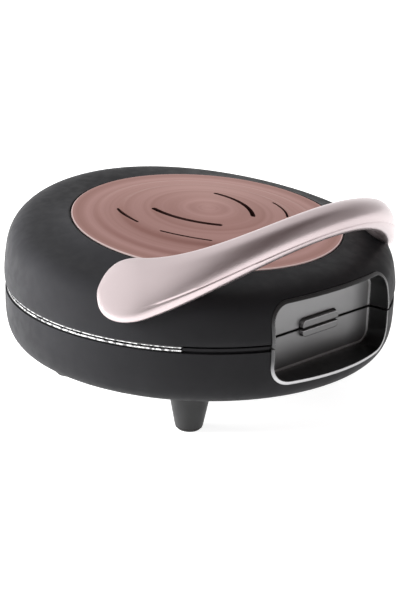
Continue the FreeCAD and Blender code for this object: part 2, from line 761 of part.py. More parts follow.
def handle_screw_axes():
    """Places and outward directions of the screws that hold the pads."""
    axes = []
    for side in (-1, 1):
        for share in (val("handle_screw_first"), val("handle_screw_second")):
            point, outward, _ = handle_frame(side * share)
            axes.append((point, outward))
    return axes


def along_axis(axis, radius, start, end):
    """Cylinder on a screw axis between two distances from the bow's middle line."""
    point, outward = axis
    return Part.makeCylinder(radius, end - start, point + outward * start, outward)


def handle_seat_depth():
    """From the bow's middle line in to where the handle screws' heads sit."""
    return val("handle_boss") + val("shell_wall")


def make_handle_screws():
    screws = []
    depth = handle_seat_depth()
    for axis in handle_screw_axes():
        bite = val("handle_screw_bite") - val("screw_gap")
        shank = along_axis(axis, val("handle_screw_radius"), -depth, bite)
        head = along_axis(axis, val("screw_head_radius"), -depth - val("screw_head_height"), -depth)
        screws.append(shank.fuse(head))
    return Part.makeCompound(screws)


# Recess inserts, latch and catch

def recess_tray():
    """Flared tray of the hand recess, open towards the front."""
    return recess_flare(val("insert_wall"), val("insert_wall")).cut(recess_flare(0, 0))


def tab_outline(grow, start, end):
    """Rounded face of tab and catch together, between two depths."""
    face = Part.Face(
        rounded_frame(
            start,
            val("tab_half_width") + grow,
            seam(-val("tab_low") - grow),
            seam(val("tab_high") + grow),
            val("tab_corner") + grow,
        )
    )
    return face.extrude(Vector(0, end - start, 0))


def above(height):
    wide = 2 * val("body_radius")
    return block(Vector(-wide, -wide, height), Vector(wide, wide, 3 * seam(0)))


def below(height):
    wide = 2 * val("body_radius")
    return block(Vector(-wide, -wide, -wide), Vector(wide, wide, height))


def panel_back():
    return -val("recess_panel_front") + val("insert_wall")


def pivot():
    return Vector(0, -val("recess_panel_front") + val("pivot_depth"), seam(val("pivot_rise")))


def cross_pin(radius, half_length, middle):
    return Part.makeCylinder(radius, 2 * half_length, middle - Vector(half_length, 0, 0), Vector(1, 0, 0))


def ear_places():
    start = val("lever_half_width") + val("ear_gap")
    return ((start, start + val("ear_width")), (-start - val("ear_width"), -start))


def make_lid_insert():
    tray = recess_tray().common(lid_solid(-val("insert_proud"), seam(0)))
    tray = tray.common(above(seam(val("insert_gap"))))
    hub = pivot()
    for start, end in ear_places():
        ear = Part.makeCylinder(val("ear_radius"), end - start, Vector(start, hub.y, hub.z), Vector(1, 0, 0))
        rib = block(
            Vector(start, panel_back() - val("insert_wall") / 2, hub.z - val("ear_radius")),
            Vector(end, hub.y, hub.z + val("ear_radius")),
        )
        tray = tray.fuse(ear.fuse(rib))
    bore = val("latch_pin_radius") + val("screw_bite_gap")
    tray = tray.cut(cross_pin(bore, val("body_radius"), hub))
    window = tab_outline(val("tab_fit"), -val("body_radius"), panel_back() + 1)
    return tray.cut(window).removeSplitter()


def make_base_insert():
    tray = recess_tray().common(base_solid(-val("insert_proud"), seam(0)))
    tray = tray.common(below(seam(-val("insert_gap"))))
    window = tab_outline(val("insert_fit"), -val("body_radius"), panel_back() + 1)
    return tray.cut(window).removeSplitter()


def catch_back():
    return panel_back() + val("catch_ledge")


def make_catch():
    front = -val("recess_panel_front") - val("tab_proud")
    return tab_outline(0, front, catch_back()).common(below(seam(-val("tab_seam"))))


def make_lever():
    """Tab, arm, barrel and hook in one moulding, turning on the latch pin."""
    hub = pivot()
    half = val("lever_half_width")
    arm_front = catch_back() + val("hook_arm_gap")
    arm_back = arm_front + val("lever_thickness")
    hook_top = seam(-val("tab_low") - val("hook_gap"))
    hook_low = hook_top - val("hook_height")
    front = -val("recess_panel_front") - val("tab_proud")
    tab = tab_outline(0, front, arm_front).common(above(seam(val("tab_seam"))))
    arm = block(Vector(-half, arm_front, hook_low), Vector(half, arm_back, hub.z + val("lever_top")))
    nose = catch_back() - val("hook_reach")
    hook = block(Vector(-half, nose, hook_low), Vector(half, arm_back, hook_top))
    lever = tab.fuse(arm).fuse(hook).fuse(cross_pin(val("latch_barrel"), half, hub))
    bore = val("latch_pin_radius") + val("pin_fit")
    return lever.cut(cross_pin(bore, 2 * half, hub)).removeSplitter()


def make_latch_pin():
    half = "(lever_half_width + ear_gap + ear_width)"
    pin = rod("latch_pin", "latch_pin_radius", f"2 * {half}", f"-{half}",
              "pivot_depth - recess_panel_front", "seam_height + pivot_rise", Vector(1, 0, 0))
    return keep("latch_pin", pin)


def make_latch_spring():
    """Leaf spring fixed behind the lid's panel, whose tip pushes the lever's top inwards."""
    back = "insert_wall + spring_gap - recess_panel_front"
    tip_back = "insert_wall + catch_ledge + hook_arm_gap - spring_gap - recess_panel_front"
    tip = "seam_height + pivot_rise + latch_barrel"
    bend = "seam_height + pivot_rise + lever_top"
    top = bend + " + spring_foot"
    return keep("latch_spring", bar("latch_spring", "2 * spring_half_width", [
        (back, top), (back, bend), (tip_back + " - spring_sheet", tip),
        (tip_back, tip), (back + " + spring_sheet", bend), (back + " + spring_sheet", top),
    ]))


# Cooking plates, heaters and pans

def ring_places():
    """Centres of the middle ring and of the six around it, as formulas."""
    places = [("0", "ring_centre_back")]
    for k in range(RING_COUNT):
        angle = 360 * k // RING_COUNT
        places.append((f"ring_pitch * cos({angle})", f"ring_centre_back + ring_pitch * sin({angle})"))
    return places


def boss_formulas():
    reach = "ring_pitch / sqrt(3)"
    return [(f"{reach} * cos({a})", f"ring_centre_back + {reach} * sin({a})") for a in BOSS_ANGLES]


def make_plate(name, up):
    """Cast plate with seven ring moulds; up is 1 for the lid's plate and -1 for the base's."""
    face = f"seam_height + {up} * plate_gap / 2"
    core_radius = "body_radius - shell_wall - mouth_lip - plate_fit"
    stack = "(ring_tube + ring_wall + 2 * heater_gap + 2 * heater_tube)"
    grow = 1 if up > 0 else 0
    edge = rod(name + "_edge", "body_radius - plate_edge_inset", "plate_edge_thickness",
               z=f"{face} - {1 - grow} * plate_edge_thickness")
    core = rod(name + "_core", core_radius, "plate_thickness", z=f"{face} - {1 - grow} * plate_thickness")
    swells = []
    hollows = []
    for number, (x, y) in enumerate(ring_places()):
        swells.append(ring(f"{name}_swell_{number}", "ring_radius", "ring_tube + ring_wall", x, y, face))
        hollows.append(ring(f"{name}_mould_{number}", "ring_radius", "ring_tube", x, y, face))
    for number, (x, y) in enumerate(boss_formulas()):
        start = f"{face} - {1 - grow} * {stack}"
        swells.append(rod(f"{name}_boss_{number}", "boss_radius", stack, x, y, start))
        end = (
            "seam_height + upper_seat_height - screw_length - screw_gap" if up > 0
            else f"{face} - {stack} - screw_gap"
        )
        length = (
            f"{face} + {stack} - ({end}) + screw_gap" if up > 0
            else f"seam_height - base_depth + lower_seat_depth + screw_length - ({end}) + screw_gap"
        )
        hollows.append(rod(f"{name}_pilot_{number}", "screw_radius + screw_bite_gap", length, x, y, end))
    solid = joined(name + "_solid", [edge, core] + swells)
    over = rod(name + "_over", "2 * body_radius", "body_radius", z=f"{face} - {grow} * body_radius")
    front = box(name + "_front", "4 * body_radius", "2 * body_radius", "2 * seam_height",
                "-2 * body_radius", "-2 * body_radius - plate_chord", "0")
    return keep(name, without(name, solid, joined(name + "_cuts", hollows + [over, front])))


def heater_end():
    """Last point of a heater's ring on the right, and the direction it runs there."""
    angle = radians(90 - val("heater_opening") / 2)
    reach = val("ring_pitch")
    end = Vector(reach * cos(angle), val("ring_centre_back") + reach * sin(angle), 0)
    return end, Vector(-sin(angle), cos(angle), 0)


def heater_leg_place():
    end, run = heater_end()
    return end + run * val("heater_bend")


def make_heater(up):
    """Tubular heater: an open ring under the moulds with two legs that turn away from the plate."""
    tube = val("heater_tube")
    level = seam(up * (val("plate_gap") / 2 + val("ring_tube") + val("ring_wall") + val("heater_gap") + tube))
    lift = Vector(0, 0, level)
    end, run = heater_end()
    bend = val("heater_bend")
    away = Vector(0, 0, up)

    def left(point):
        return Vector(-point.x, point.y, point.z)

    corner = end + run * bend + away * bend
    middle = end + run * (bend * sin(pi / 4)) + away * (bend * (1 - cos(pi / 4)))
    stop = corner + away * val("heater_leg")
    front = Vector(0, val("ring_centre_back") - val("ring_pitch"), 0)
    path = Part.Wire([
        Part.makeLine(left(stop) + lift, left(corner) + lift),
        Part.Arc(left(corner) + lift, left(middle) + lift, left(end) + lift).toShape(),
        Part.Arc(left(end) + lift, front + lift, end + lift).toShape(),
        Part.Arc(end + lift, middle + lift, corner + lift).toShape(),
        Part.makeLine(corner + lift, stop + lift),
    ])
    section = Part.Wire([Part.makeCircle(tube, left(stop) + lift, away)])
    return path.makePipeShell([section], True, False)


def make_pan(name, up):
    """Reflector pan that the screw posts clamp against the plate's bosses."""
    stack = "(plate_gap / 2 + ring_tube + ring_wall + 2 * heater_gap + 2 * heater_tube)"
    low = f"seam_height + {stack}" if up > 0 else f"seam_height - {stack} - pan_sheet"
    lip_low = f"seam_height + {stack} - pan_lip + pan_sheet" if up > 0 else low
    disc = rod(name + "_disc", "pan_radius", "pan_sheet", y="ring_centre_back", z=low)
    lip = without(
        name + "_lip",
        rod(name + "_lip_out", "pan_radius", "pan_lip", y="ring_centre_back", z=lip_low),
        rod(name + "_lip_in", "pan_radius - pan_sheet", "pan_lip", y="ring_centre_back", z=lip_low),
    )
    holes = [
        rod(f"{name}_hole_{number}", "screw_radius + screw_gap", "3 * pan_sheet", x, y, f"{low} - pan_sheet")
        for number, (x, y) in enumerate(boss_formulas())
    ]
    turn = "(90 - heater_opening / 2)"
    x = f"(ring_pitch * cos({turn}) - heater_bend * sin({turn}))"
    y = f"ring_centre_back + ring_pitch * sin({turn}) + heater_bend * cos({turn})"
    for side in (-1, 1):
        tag = "left" if side < 0 else "right"
        holes.append(
            rod(f"{name}_leg_{tag}", "heater_tube + pan_hole_gap", "3 * pan_sheet",
                f"{side} * {x}", y, f"{low} - pan_sheet")
        )
    return keep(name, without(name, joined(name + "_sheet", [disc, lip]), joined(name + "_holes", holes)))


def make_plate_screws(name, up):
    seat = "seam_height + upper_seat_height" if up > 0 else "seam_height - base_depth + lower_seat_depth"
    shank_low = f"{seat} - screw_length" if up > 0 else seat
    head_low = seat if up > 0 else f"{seat} - screw_head_height"
    screws = []
    for number, (x, y) in enumerate(boss_formulas()):
        shank = rod(f"{name}_shank_{number}", "screw_radius", "screw_length", x, y, shank_low)
        head = rod(f"{name}_head_{number}", "screw_head_radius", "screw_head_height", x, y, head_low)
        screws.append(joined(f"{name}_{number}", [shank, head]))
    return keep(name, group(name, screws))


# Top disc

def make_disc():
    """Pressed sheet disc that rises in two steps to a low crown, on the lid's tilted top."""
    crown = [
        ("dome_foot - dome_step", "shelf_rise_outer"), ("dome_shelf", "shelf_rise_inner"),
        ("dome_shelf - dome_step", "crown_rise"), ("dome_shoulder", "shoulder_rise"), ("0", "dome_rise"),
    ]
    corners = list(reversed(crown))
    corners += [
        ("dome_foot", "0"), ("disc_radius", "0"), ("disc_radius", "disc_thickness - disc_bevel"),
        ("disc_radius - disc_bevel", "disc_thickness"), ("dome_foot", "disc_thickness + foot_rise"),
    ]
    corners += [(reach, "disc_thickness + " + rise) for reach, rise in crown]
    disc = turned("lid_disc", corners)
    disc.Placement = disc_placement(-val("disc_seat_depth"))
    return keep("lid_disc", disc)


# Feet

def make_foot(place):
    floor = seam(-val("base_depth"))
    low = val("pad_height")
    top = val("foot_top_radius")
    leg = Part.makeCone(val("foot_bottom_radius"), top, floor - low, Vector(place.x, place.y, low))
    leg = leg.fuse(upright(top, floor, floor + val("shell_wall"), place.x, place.y))
    stud = upright(val("stud_radius") + val("stud_gap"), 0, low + val("stud_height"), place.x, place.y)
    screw_end = floor + val("shell_wall") - val("foot_screw_length") - val("screw_gap")
    bite = upright(val("foot_screw_radius") + val("screw_bite_gap"), screw_end, seam(0), place.x, place.y)
    return largest(leg.cut([base_solid(0, seam(-val("rim_gap"))), stud, bite]))


def make_foot_pad(name, place):
    radius = "foot_bottom_radius - pad_inset"
    pad = turned(name, [
        ("0", "0"), (f"{radius} - pad_bevel", "0"), (radius, "pad_bevel"), (radius, "pad_height"),
        ("stud_radius", "pad_height"),
        ("stud_radius", "pad_height + stud_height"), ("0", "pad_height + stud_height"),
    ])
    pad.Placement = Placement(place, Rotation())
    return keep(name, pad)


def make_foot_screws(name):
    seat = "seam_height - base_depth + shell_wall"
    screws = []
    for tag, (side, depth) in FEET.items():
        x = f"{side} * foot_ring * sin(foot_angle)"
        y = f"{depth} * foot_ring * cos(foot_angle)"
        shank = rod(f"{name}_shank_{tag}", "foot_screw_radius", "foot_screw_length", x, y,
                    f"{seat} - foot_screw_length")
        head = rod(f"{name}_head_{tag}", "screw_head_radius", "screw_head_height", x, y, seat)
        screws.append(joined(f"{name}_{tag}", [shank, head]))
    return keep(name, group(name, screws))


# Hinge pin, gland and electrical pieces

def make_hinge_pin():
    """Pin through the three barrels, with a low head at each end."""
    half = "hinge_lid_half + hinge_side_gap + hinge_base_length"
    axis = Vector(1, 0, 0)
    shank = rod("hinge_pin_shank", "hinge_pin_radius", f"2 * ({half})", f"-({half})",
                "body_radius + hinge_clearance + knuckle_radius", "seam_height", axis)
    heads = [
        rod(f"hinge_pin_head_{tag}", "hinge_pin_radius + hinge_head", "hinge_head", place,
            "body_radius + hinge_clearance + knuckle_radius", "seam_height", axis)
        for tag, place in (("left", f"-({half}) - hinge_head"), ("right", half))
    ]
    return keep("hinge_pin", joined("hinge_pin", [shank] + heads))


def make_gland():
    """Rubber gland with a square neck between two flanges, bored for the mains lead."""
    back = "(body_radius - insert_fit)"
    front = f"({back} - 2 * shell_wall)"
    wide = "(gland_half + gland_flange)"
    middle = "(seam_height - gland_drop)"
    neck = box("gland_neck", "2 * gland_half", "2 * shell_wall", "2 * gland_half",
               "-gland_half", front, f"{middle} - gland_half")
    outer = box("gland_outer", f"2 * {wide}", "gland_flange_depth", f"2 * {wide}",
                f"-{wide}", back, f"{middle} - {wide}")
    inner = box("gland_inner", f"2 * {wide}", "gland_flange_depth", f"2 * {wide}",
                f"-{wide}", f"{front} - gland_flange_depth", f"{middle} - {wide}")
    bore = rod("gland_bore_cut", "gland_bore", "4 * shell_wall + 4 * gland_flange_depth", "0",
               f"{front} - 2 * gland_flange_depth", middle, Vector(0, 1, 0))
    return keep("cord_gland", without("cord_gland", joined("gland_solid", [neck, outer, inner]), bore))


def make_thermostat():
    stack = "(plate_gap / 2 + ring_tube + ring_wall + 2 * heater_gap + 2 * heater_tube + pan_sheet)"
    top = f"(seam_height - {stack})"
    low = f"({top} - thermostat_height)"
    parts = [rod("thermostat_can", "thermostat_radius", "thermostat_height", "0", "thermostat_back", low)]
    for tag, side in (("left", -1), ("right", 1)):
        parts.append(
            box(f"thermostat_blade_{tag}", "blade_sheet", "blade_width", "blade_length",
                f"{side} * thermostat_radius / 2", "thermostat_back - blade_width / 2",
                f"{low} - blade_length")
        )
    return keep("thermostat", joined("thermostat", parts))


def make_thermal_fuse():
    stack = "(plate_gap / 2 + ring_tube + ring_wall + 2 * heater_gap + 2 * heater_tube + pan_sheet)"
    level = f"seam_height - {stack} - fuse_radius"
    axis = Vector(1, 0, 0)
    can = rod("thermal_fuse_can", "fuse_radius", "fuse_length", "-fuse_length / 2", "fuse_back", level, axis)
    lead = rod("thermal_fuse_lead", "fuse_lead", "2 * fuse_length", "-fuse_length", "fuse_back", level, axis)
    return keep("thermal_fuse", joined("thermal_fuse", [can, lead]))


def make_terminal_block():
    """Ceramic block on the base's floor, with three clamps."""
    floor = "seam_height - base_depth + shell_wall"
    solid = box("terminal_block_solid", "block_length", "block_width", "block_height",
                "-block_length / 2", "block_back - block_width / 2", floor)
    clamps = [
        rod(f"terminal_block_clamp_{number}", "block_hole", "block_height", f"{place} * block_length / 3",
            "block_back", f"{floor} + block_height / 2")
        for number, place in enumerate((-1, 0, 1))
    ]
    return keep("terminal_block", without("terminal_block", solid, joined("terminal_block_clamps", clamps)))


def lead_tube(points, bend):
    """Round lead along straight runs joined by arcs of one bend."""
    edges = []
    start = points[0]
    for before, corner, after in zip(points, points[1:], points[2:]):
        into = (corner - before).normalize()
        out = (after - corner).normalize()
        first = corner - into * bend
        last = corner + out * bend
        middle = corner + (out - into) * (bend * (1 - sqrt(0.5)))
        edges.append(Part.makeLine(start, first))
        edges.append(Part.Arc(first, middle, last).toShape())
        start = last
    edges.append(Part.makeLine(start, points[-1]))
    section = Part.Wire([Part.makeCircle(val("lead_radius"), points[0], points[1] - points[0])])
    return Part.Wire(edges).makePipeShell([section], True, False)


def make_base_leads():
    """Leads from the terminal block back to the lower heater's legs."""
    leg = heater_leg_place()
    end = seam(-val("plate_gap") / 2 - val("ring_tube") - val("ring_wall") - val("heater_gap")
               - val("heater_tube") - val("heater_bend") - val("heater_leg"))
    low = end - 2 * val("lead_bend")
    start = val("block_back") + val("block_width") / 2
    leads = [
        lead_tube([Vector(x, start, low), Vector(x, leg.y, low), Vector(x, leg.y, end)], val("lead_bend"))
        for x in (-leg.x, leg.x)
    ]
    return Part.makeCompound(leads)


def make_lid_leads():
    """Leads from the upper heater's legs back and down to the hinge."""
    leg = heater_leg_place()
    start = seam(val("plate_gap") / 2 + val("ring_tube") + val("ring_wall") + val("heater_gap")
                 + val("heater_tube") + val("heater_bend") + val("heater_leg"))
    high = start + 2 * val("lead_bend")
    back = val("body_radius") - 2 * val("shell_wall") - val("lead_bend")
    low = seam(val("rim_gap") + val("plate_thickness") + val("lead_bend"))
    leads = [
        lead_tube(
            [Vector(x, leg.y, start), Vector(x, leg.y, high), Vector(x, back, high), Vector(x, back, low)],
            val("lead_bend"),
        )
        for x in (-leg.x, leg.x)
    ]
    return Part.makeCompound(leads)


# The finished sub-parts

keep_shape("base_shell", make_base_shell())
keep_shape("lid_shell", make_lid_shell())
grip, underside = make_handle()
keep_shape("handle_grip", grip)
keep_shape("handle_underside", underside)
keep_shape("handle_screws", make_handle_screws())
keep_shape("lid_recess_insert", make_lid_insert())
keep_shape("base_recess_insert", make_base_insert())
keep_shape("latch_catch", make_catch())
keep_shape("latch_lever", make_lever())
make_latch_pin()
make_latch_spring()
make_disc()
for name, up in (("lower", -1), ("upper", 1)):
    make_plate(name + "_plate", up)
    keep_shape(name + "_heater", make_heater(up))
    make_pan(name + "_pan", up)
    make_plate_screws(name + "_plate_screws", up)
for name, place in foot_places().items():
    keep_shape("foot_" + name, make_foot(place))
    make_foot_pad("foot_pad_" + name, place)
make_foot_screws("foot_screws")
make_hinge_pin()
make_gland()
make_thermostat()
make_thermal_fuse()
make_terminal_block()
keep_shape("base_leads", make_base_leads())
keep_shape("lid_leads", make_lid_leads())

# The origin is on the floor under the middle of the whole object, hinge included
doc.recompute()
rear_reach = hinge_axis_y() + val("knuckle_radius")
lean = radians(val("grip_lean"))
front_reach = val("handle_reach") + hypot(val("grip_depth") * cos(lean), val("grip_height") * sin(lean))
shift = Placement(Vector(0, (front_reach - rear_reach) / 2, 0), Rotation())
for item in nodes.values():
    item.Placement = shift.multiply(item.Placement)
doc.recompute()

for item in doc.Objects:
    if "Invalid" in item.State or "Error" in item.State:
        raise RuntimeError(f"{item.Label} failed: {item.State}")
os.makedirs("parts", exist_ok=True)
for name, item in nodes.items():
    shape = item.Shape
    if shape.isNull() or not shape.isValid():
        raise RuntimeError(f"{name} has no sound shape")
    shape.exportStep(f"parts/{name}.step")
    print(f"{name}: {len(shape.Solids)} solids, {shape.Volume / 1000:.2f} cm3")
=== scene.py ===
# %% [markdown]
# # Donut maker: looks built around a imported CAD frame
#
# A donut maker is a round clam of soft black plastic with two hot plates inside. The CAD solids give its
# places, sizes and joints. This script adds what the eye sees: a domed spun disc, a satin bow handle,
# charcoal shells, coated plates with bright edges, and studio light. Two forms, the disc and the bow, are
# built again as fine meshes, because their curves catch the light. Every other piece keeps its CAD mesh
# and only gets a finish. Lengths are in metres, +Z is up, and the front of the object faces -Y.

# %% Load the frame
import json
from math import cos, pi, radians, sin, sqrt
import bmesh
import bpy
from mathutils import Matrix, Vector


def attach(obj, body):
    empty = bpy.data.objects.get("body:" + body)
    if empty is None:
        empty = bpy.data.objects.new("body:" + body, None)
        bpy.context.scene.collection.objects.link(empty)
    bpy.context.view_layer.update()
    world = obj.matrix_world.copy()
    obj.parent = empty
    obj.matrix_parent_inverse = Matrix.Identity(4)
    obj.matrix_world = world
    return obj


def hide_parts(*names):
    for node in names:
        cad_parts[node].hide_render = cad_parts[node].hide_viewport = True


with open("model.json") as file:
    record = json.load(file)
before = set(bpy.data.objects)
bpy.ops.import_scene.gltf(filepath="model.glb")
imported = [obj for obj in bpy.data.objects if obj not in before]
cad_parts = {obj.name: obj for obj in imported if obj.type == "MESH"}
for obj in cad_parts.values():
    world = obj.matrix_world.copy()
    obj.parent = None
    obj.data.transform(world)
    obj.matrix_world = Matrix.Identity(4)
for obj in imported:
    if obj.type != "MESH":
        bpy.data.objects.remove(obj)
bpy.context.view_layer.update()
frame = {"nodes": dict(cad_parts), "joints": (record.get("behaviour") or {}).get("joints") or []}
nodes = frame["nodes"]
joints = {joint["name"]: joint for joint in frame["joints"]}

# %% [markdown]
# ## Driving dimensions
#
# The round body's upright axis is the datum for everything that is added. It could be measured from a
# mesh, but the hinge joint is exact and always there, so the axis is taken from the hinge. The packed
# origin won't do: it lies under the middle of the whole box and not under the body's axis.

# %% Named sizes
MM = 0.001
BODY_RADIUS = 115 * MM
HINGE_REACH = 120.8 * MM
SEAM = joints["lid_hinge"]["pos_m"][2]
BODY_Y = joints["lid_hinge"]["pos_m"][1] - HINGE_REACH
AXIS_POINT = Vector((0, BODY_Y, SEAM))
DISC_RADIUS = 80 * MM
DISC_FORWARD = 4.6 * MM
DISC_RISE = 38.6 * MM
DISC_TILT = radians(4.2)
DISC_SEAT = 1.4 * MM
PANEL_HALF, PANEL_CORNER = 44 * MM, 8 * MM
PANEL_TOP, PANEL_BOTTOM = 20.5 * MM, 21.3 * MM
print("body axis at y =", round(BODY_Y / MM, 2), "mm, seam at z =", round(SEAM / MM, 2), "mm")

# %% [markdown]
# ## Camera
#
# The view looks at the body's axis at seam height from the front left, a little from above. A camera
# could be aimed by a tracking constraint, but a matrix built from azimuth, elevation and roll is easier
# to read and to repeat. The lens comes from a focal length in pixels of the 400 by 600 frame, and a small
# upright shift puts the object a little above the middle without tilting the view.

# %% Camera at the photograph's angle
IMAGE_HEIGHT = 600
FOCAL_PIXELS = 1689.8
SENSOR_MM = 36
VIEW_AZIMUTH = radians(-44.7)
VIEW_ELEVATION = radians(19.13)
VIEW_ROLL = radians(1.8)
VIEW_DISTANCE = 1.0036
LIFT_PIXELS = 20.27

backward = Vector((
    sin(VIEW_AZIMUTH) * cos(VIEW_ELEVATION),
    -cos(VIEW_AZIMUTH) * cos(VIEW_ELEVATION),
    sin(VIEW_ELEVATION),
))
level = Vector((cos(VIEW_AZIMUTH), sin(VIEW_AZIMUTH), 0))
upright = backward.cross(level)
right = level * cos(VIEW_ROLL) + upright * sin(VIEW_ROLL)
upward = upright * cos(VIEW_ROLL) - level * sin(VIEW_ROLL)
camera_data = bpy.data.cameras.new("photo_camera")
camera_data.sensor_fit = "VERTICAL"
camera_data.sensor_height = SENSOR_MM
camera_data.lens = FOCAL_PIXELS * SENSOR_MM / IMAGE_HEIGHT
camera_data.shift_y = -LIFT_PIXELS / IMAGE_HEIGHT
camera = bpy.data.objects.new("photo_camera", camera_data)
turn = Matrix((right, upward, backward)).transposed().to_4x4()
camera.matrix_world = Matrix.Translation(AXIS_POINT + backward * VIEW_DISTANCE) @ turn
bpy.context.scene.collection.objects.link(camera)
bpy.context.scene.camera = camera
print("lens", round(camera_data.lens, 1), "mm")

# %% [markdown]
# ## Material kit
#
# Real surfaces are never one flat colour. Every finish here is a node tree in which colour drifts a
# little at a large scale, roughness varies at a middle scale, and a fine bump gives the grain. A bevel
# node rounds the light along sharp CAD edges. Painted images could do this too, but noise needs no
# unwrapping and stays sharp at any distance. Wiring nodes takes many lines, so two small classes hold
# the calls that come again and again.

# %% Material helpers
class NodeKit:
    """Short calls for the shader nodes that the finishes and the surround use."""

    def __init__(self, tree):
        self.tree = tree

    def node(self, kind, **settings):
        made = self.tree.nodes.new(kind)
        for name, value in settings.items():
            setattr(made, name, value)
        return made

    def link(self, source, target):
        self.tree.links.new(source, target)

    def along(self, vector, direction):
        """How far a vector goes in a direction."""
        made = self.node("ShaderNodeVectorMath", operation="DOT_PRODUCT")
        made.inputs[1].default_value = direction
        self.link(vector, made.inputs[0])
        return made.outputs["Value"]

    def math(self, operation, first, second=0.0):
        made = self.node("ShaderNodeMath", operation=operation)
        for socket, value in zip(made.inputs, (first, second)):
            if isinstance(value, (int, float)):
                socket.default_value = value
            else:
                self.link(value, socket)
        return made.outputs[0]

    def spread(self, source, low, high, start=0.3, end=0.7):
        """Map a pattern's middle range onto a range of values, with soft ends."""
        made = self.node("ShaderNodeMapRange", interpolation_type="SMOOTHSTEP")
        for name, value in (("From Min", start), ("From Max", end), ("To Min", low), ("To Max", high)):
            made.inputs[name].default_value = value
        self.link(source, made.inputs["Value"])
        return made.outputs["Result"]

    def colours(self, source, dark, light, start=0.3, end=0.7):
        made = self.node("ShaderNodeValToRGB")
        ramp = made.color_ramp
        ramp.elements[0].position = start
        ramp.elements[0].color = (*dark, 1)
        ramp.elements[1].position = end
        ramp.elements[1].color = (*light, 1)
        self.link(source, made.inputs["Fac"])
        return made.outputs["Color"]

    def mix(self, share, first, second):
        made = self.node("ShaderNodeMix", data_type="RGBA")
        self.link(share, made.inputs["Factor"])
        for socket, value in ((made.inputs[6], first), (made.inputs[7], second)):
            if isinstance(value, tuple):
                socket.default_value = (*value, 1)
            else:
                self.link(value, socket)
        return made.outputs[2]


class Finish(NodeKit):
    """A node material around one principled shader."""

    def __init__(self, name, **sockets):
        self.material = bpy.data.materials.new(name)
        self.material.use_nodes = True
        super().__init__(self.material.node_tree)
        self.shader = self.tree.nodes["Principled BSDF"]
        for socket, value in sockets.items():
            self.shader.inputs[socket.replace("_", " ")].default_value = value

    def place(self):
        """Position on the piece, in metres."""
        return self.node("ShaderNodeTexCoord").outputs["Object"]

    def noise(self, scale, detail=2.0):
        made = self.node("ShaderNodeTexNoise")
        made.inputs["Scale"].default_value = scale
        made.inputs["Detail"].default_value = detail
        self.link(self.place(), made.inputs["Vector"])
        return made.outputs["Fac"]

    def bands(self, source, scale, detail=2.0):
        """Uneven bands along one value, such as turning marks along a radius."""
        made = self.node("ShaderNodeTexNoise", noise_dimensions="1D")
        made.inputs["Scale"].default_value = scale
        made.inputs["Detail"].default_value = detail
        self.link(source, made.inputs["W"])
        return made.outputs["Fac"]

    def from_axis(self, axis_y):
        """Level vector from an upright axis to the place."""
        away = self.node("ShaderNodeVectorMath", operation="SUBTRACT")
        away.inputs[1].default_value = (0, axis_y, 0)
        self.link(self.place(), away.inputs[0])
        flat = self.node("ShaderNodeVectorMath", operation="MULTIPLY")
        flat.inputs[1].default_value = (1, 1, 0)
        self.link(away.outputs[0], flat.inputs[0])
        return flat.outputs[0]

    def reach(self, axis_y=0.0):
        """Distance from an upright axis."""
        length = self.node("ShaderNodeVectorMath", operation="LENGTH")
        self.link(self.from_axis(axis_y), length.inputs[0])
        return length.outputs["Value"]

    def outward(self, normal, axis_y):
        """How far a normal points away from an upright axis."""
        ray = self.node("ShaderNodeVectorMath", operation="NORMALIZE")
        self.link(self.from_axis(axis_y), ray.inputs[0])
        made = self.node("ShaderNodeVectorMath", operation="DOT_PRODUCT")
        self.link(normal, made.inputs[0])
        self.link(ray.outputs[0], made.inputs[1])
        return made.outputs["Value"]

    def beyond(self, source, middle, half):
        """How far a value lies outside a span, or zero inside it."""
        off = self.math("ABSOLUTE", self.math("SUBTRACT", source, middle))
        return self.math("MAXIMUM", self.math("SUBTRACT", off, half), 0.0)

    def square(self, source):
        return self.math("MULTIPLY", source, source)

    def rounded(self, radius, samples=6):
        """Normal of the surface with its edges rounded by a radius."""
        made = self.node("ShaderNodeBevel", samples=samples)
        made.inputs["Radius"].default_value = radius
        return made.outputs["Normal"]

    def bump(self, height, depth, edge=0.0):
        """Bump of a real depth in metres, over edges rounded by a radius."""
        made = self.node("ShaderNodeBump")
        made.inputs["Distance"].default_value = depth
        self.link(height, made.inputs["Height"])
        if edge:
            self.link(self.rounded(edge, samples=4), made.inputs["Normal"])
        self.link(made.outputs["Normal"], self.shader.inputs["Normal"])

    def set(self, socket, source):
        self.link(source, self.shader.inputs[socket])


def moulded(name, dark, light, rough, grain, depth, edge=0.4 * MM, **sockets):
    """Moulded plastic or rubber: faint colour drift, uneven sheen and a fine grain."""
    finish = Finish(name, **sockets)
    finish.set("Base Color", finish.colours(finish.noise(35), dark, light))
    finish.set("Roughness", finish.spread(finish.noise(160, 4), rough - 0.05, rough + 0.05))
    finish.bump(finish.noise(grain, 3), depth, edge)
    return finish.material


def plain_metal(name, dark, light, rough, grain, depth, edge=0.3 * MM):
    """Bare or plated metal with fine uneven sheen."""
    finish = Finish(name, Metallic=1.0)
    finish.set("Base Color", finish.colours(finish.noise(220, 4), dark, light))
    finish.set("Roughness", finish.spread(finish.noise(900, 3), rough - 0.08, rough + 0.08))
    finish.bump(finish.noise(grain, 2), depth, edge)
    return finish.material


# %% [markdown]
# The shells are soft-touch plastic: nearly black, faintly blue, and so matt that only a broad dim sheen
# shows. A low specular level does that better than a high roughness alone, which would turn them grey.
# The feet are a plainer, slightly glossier plastic on rubber pads. Screws and pins are plated steel, and
# the hidden pieces get ceramic, sleeving and bright sheet. One call each is enough, because they differ
# only in colour, roughness and grain.

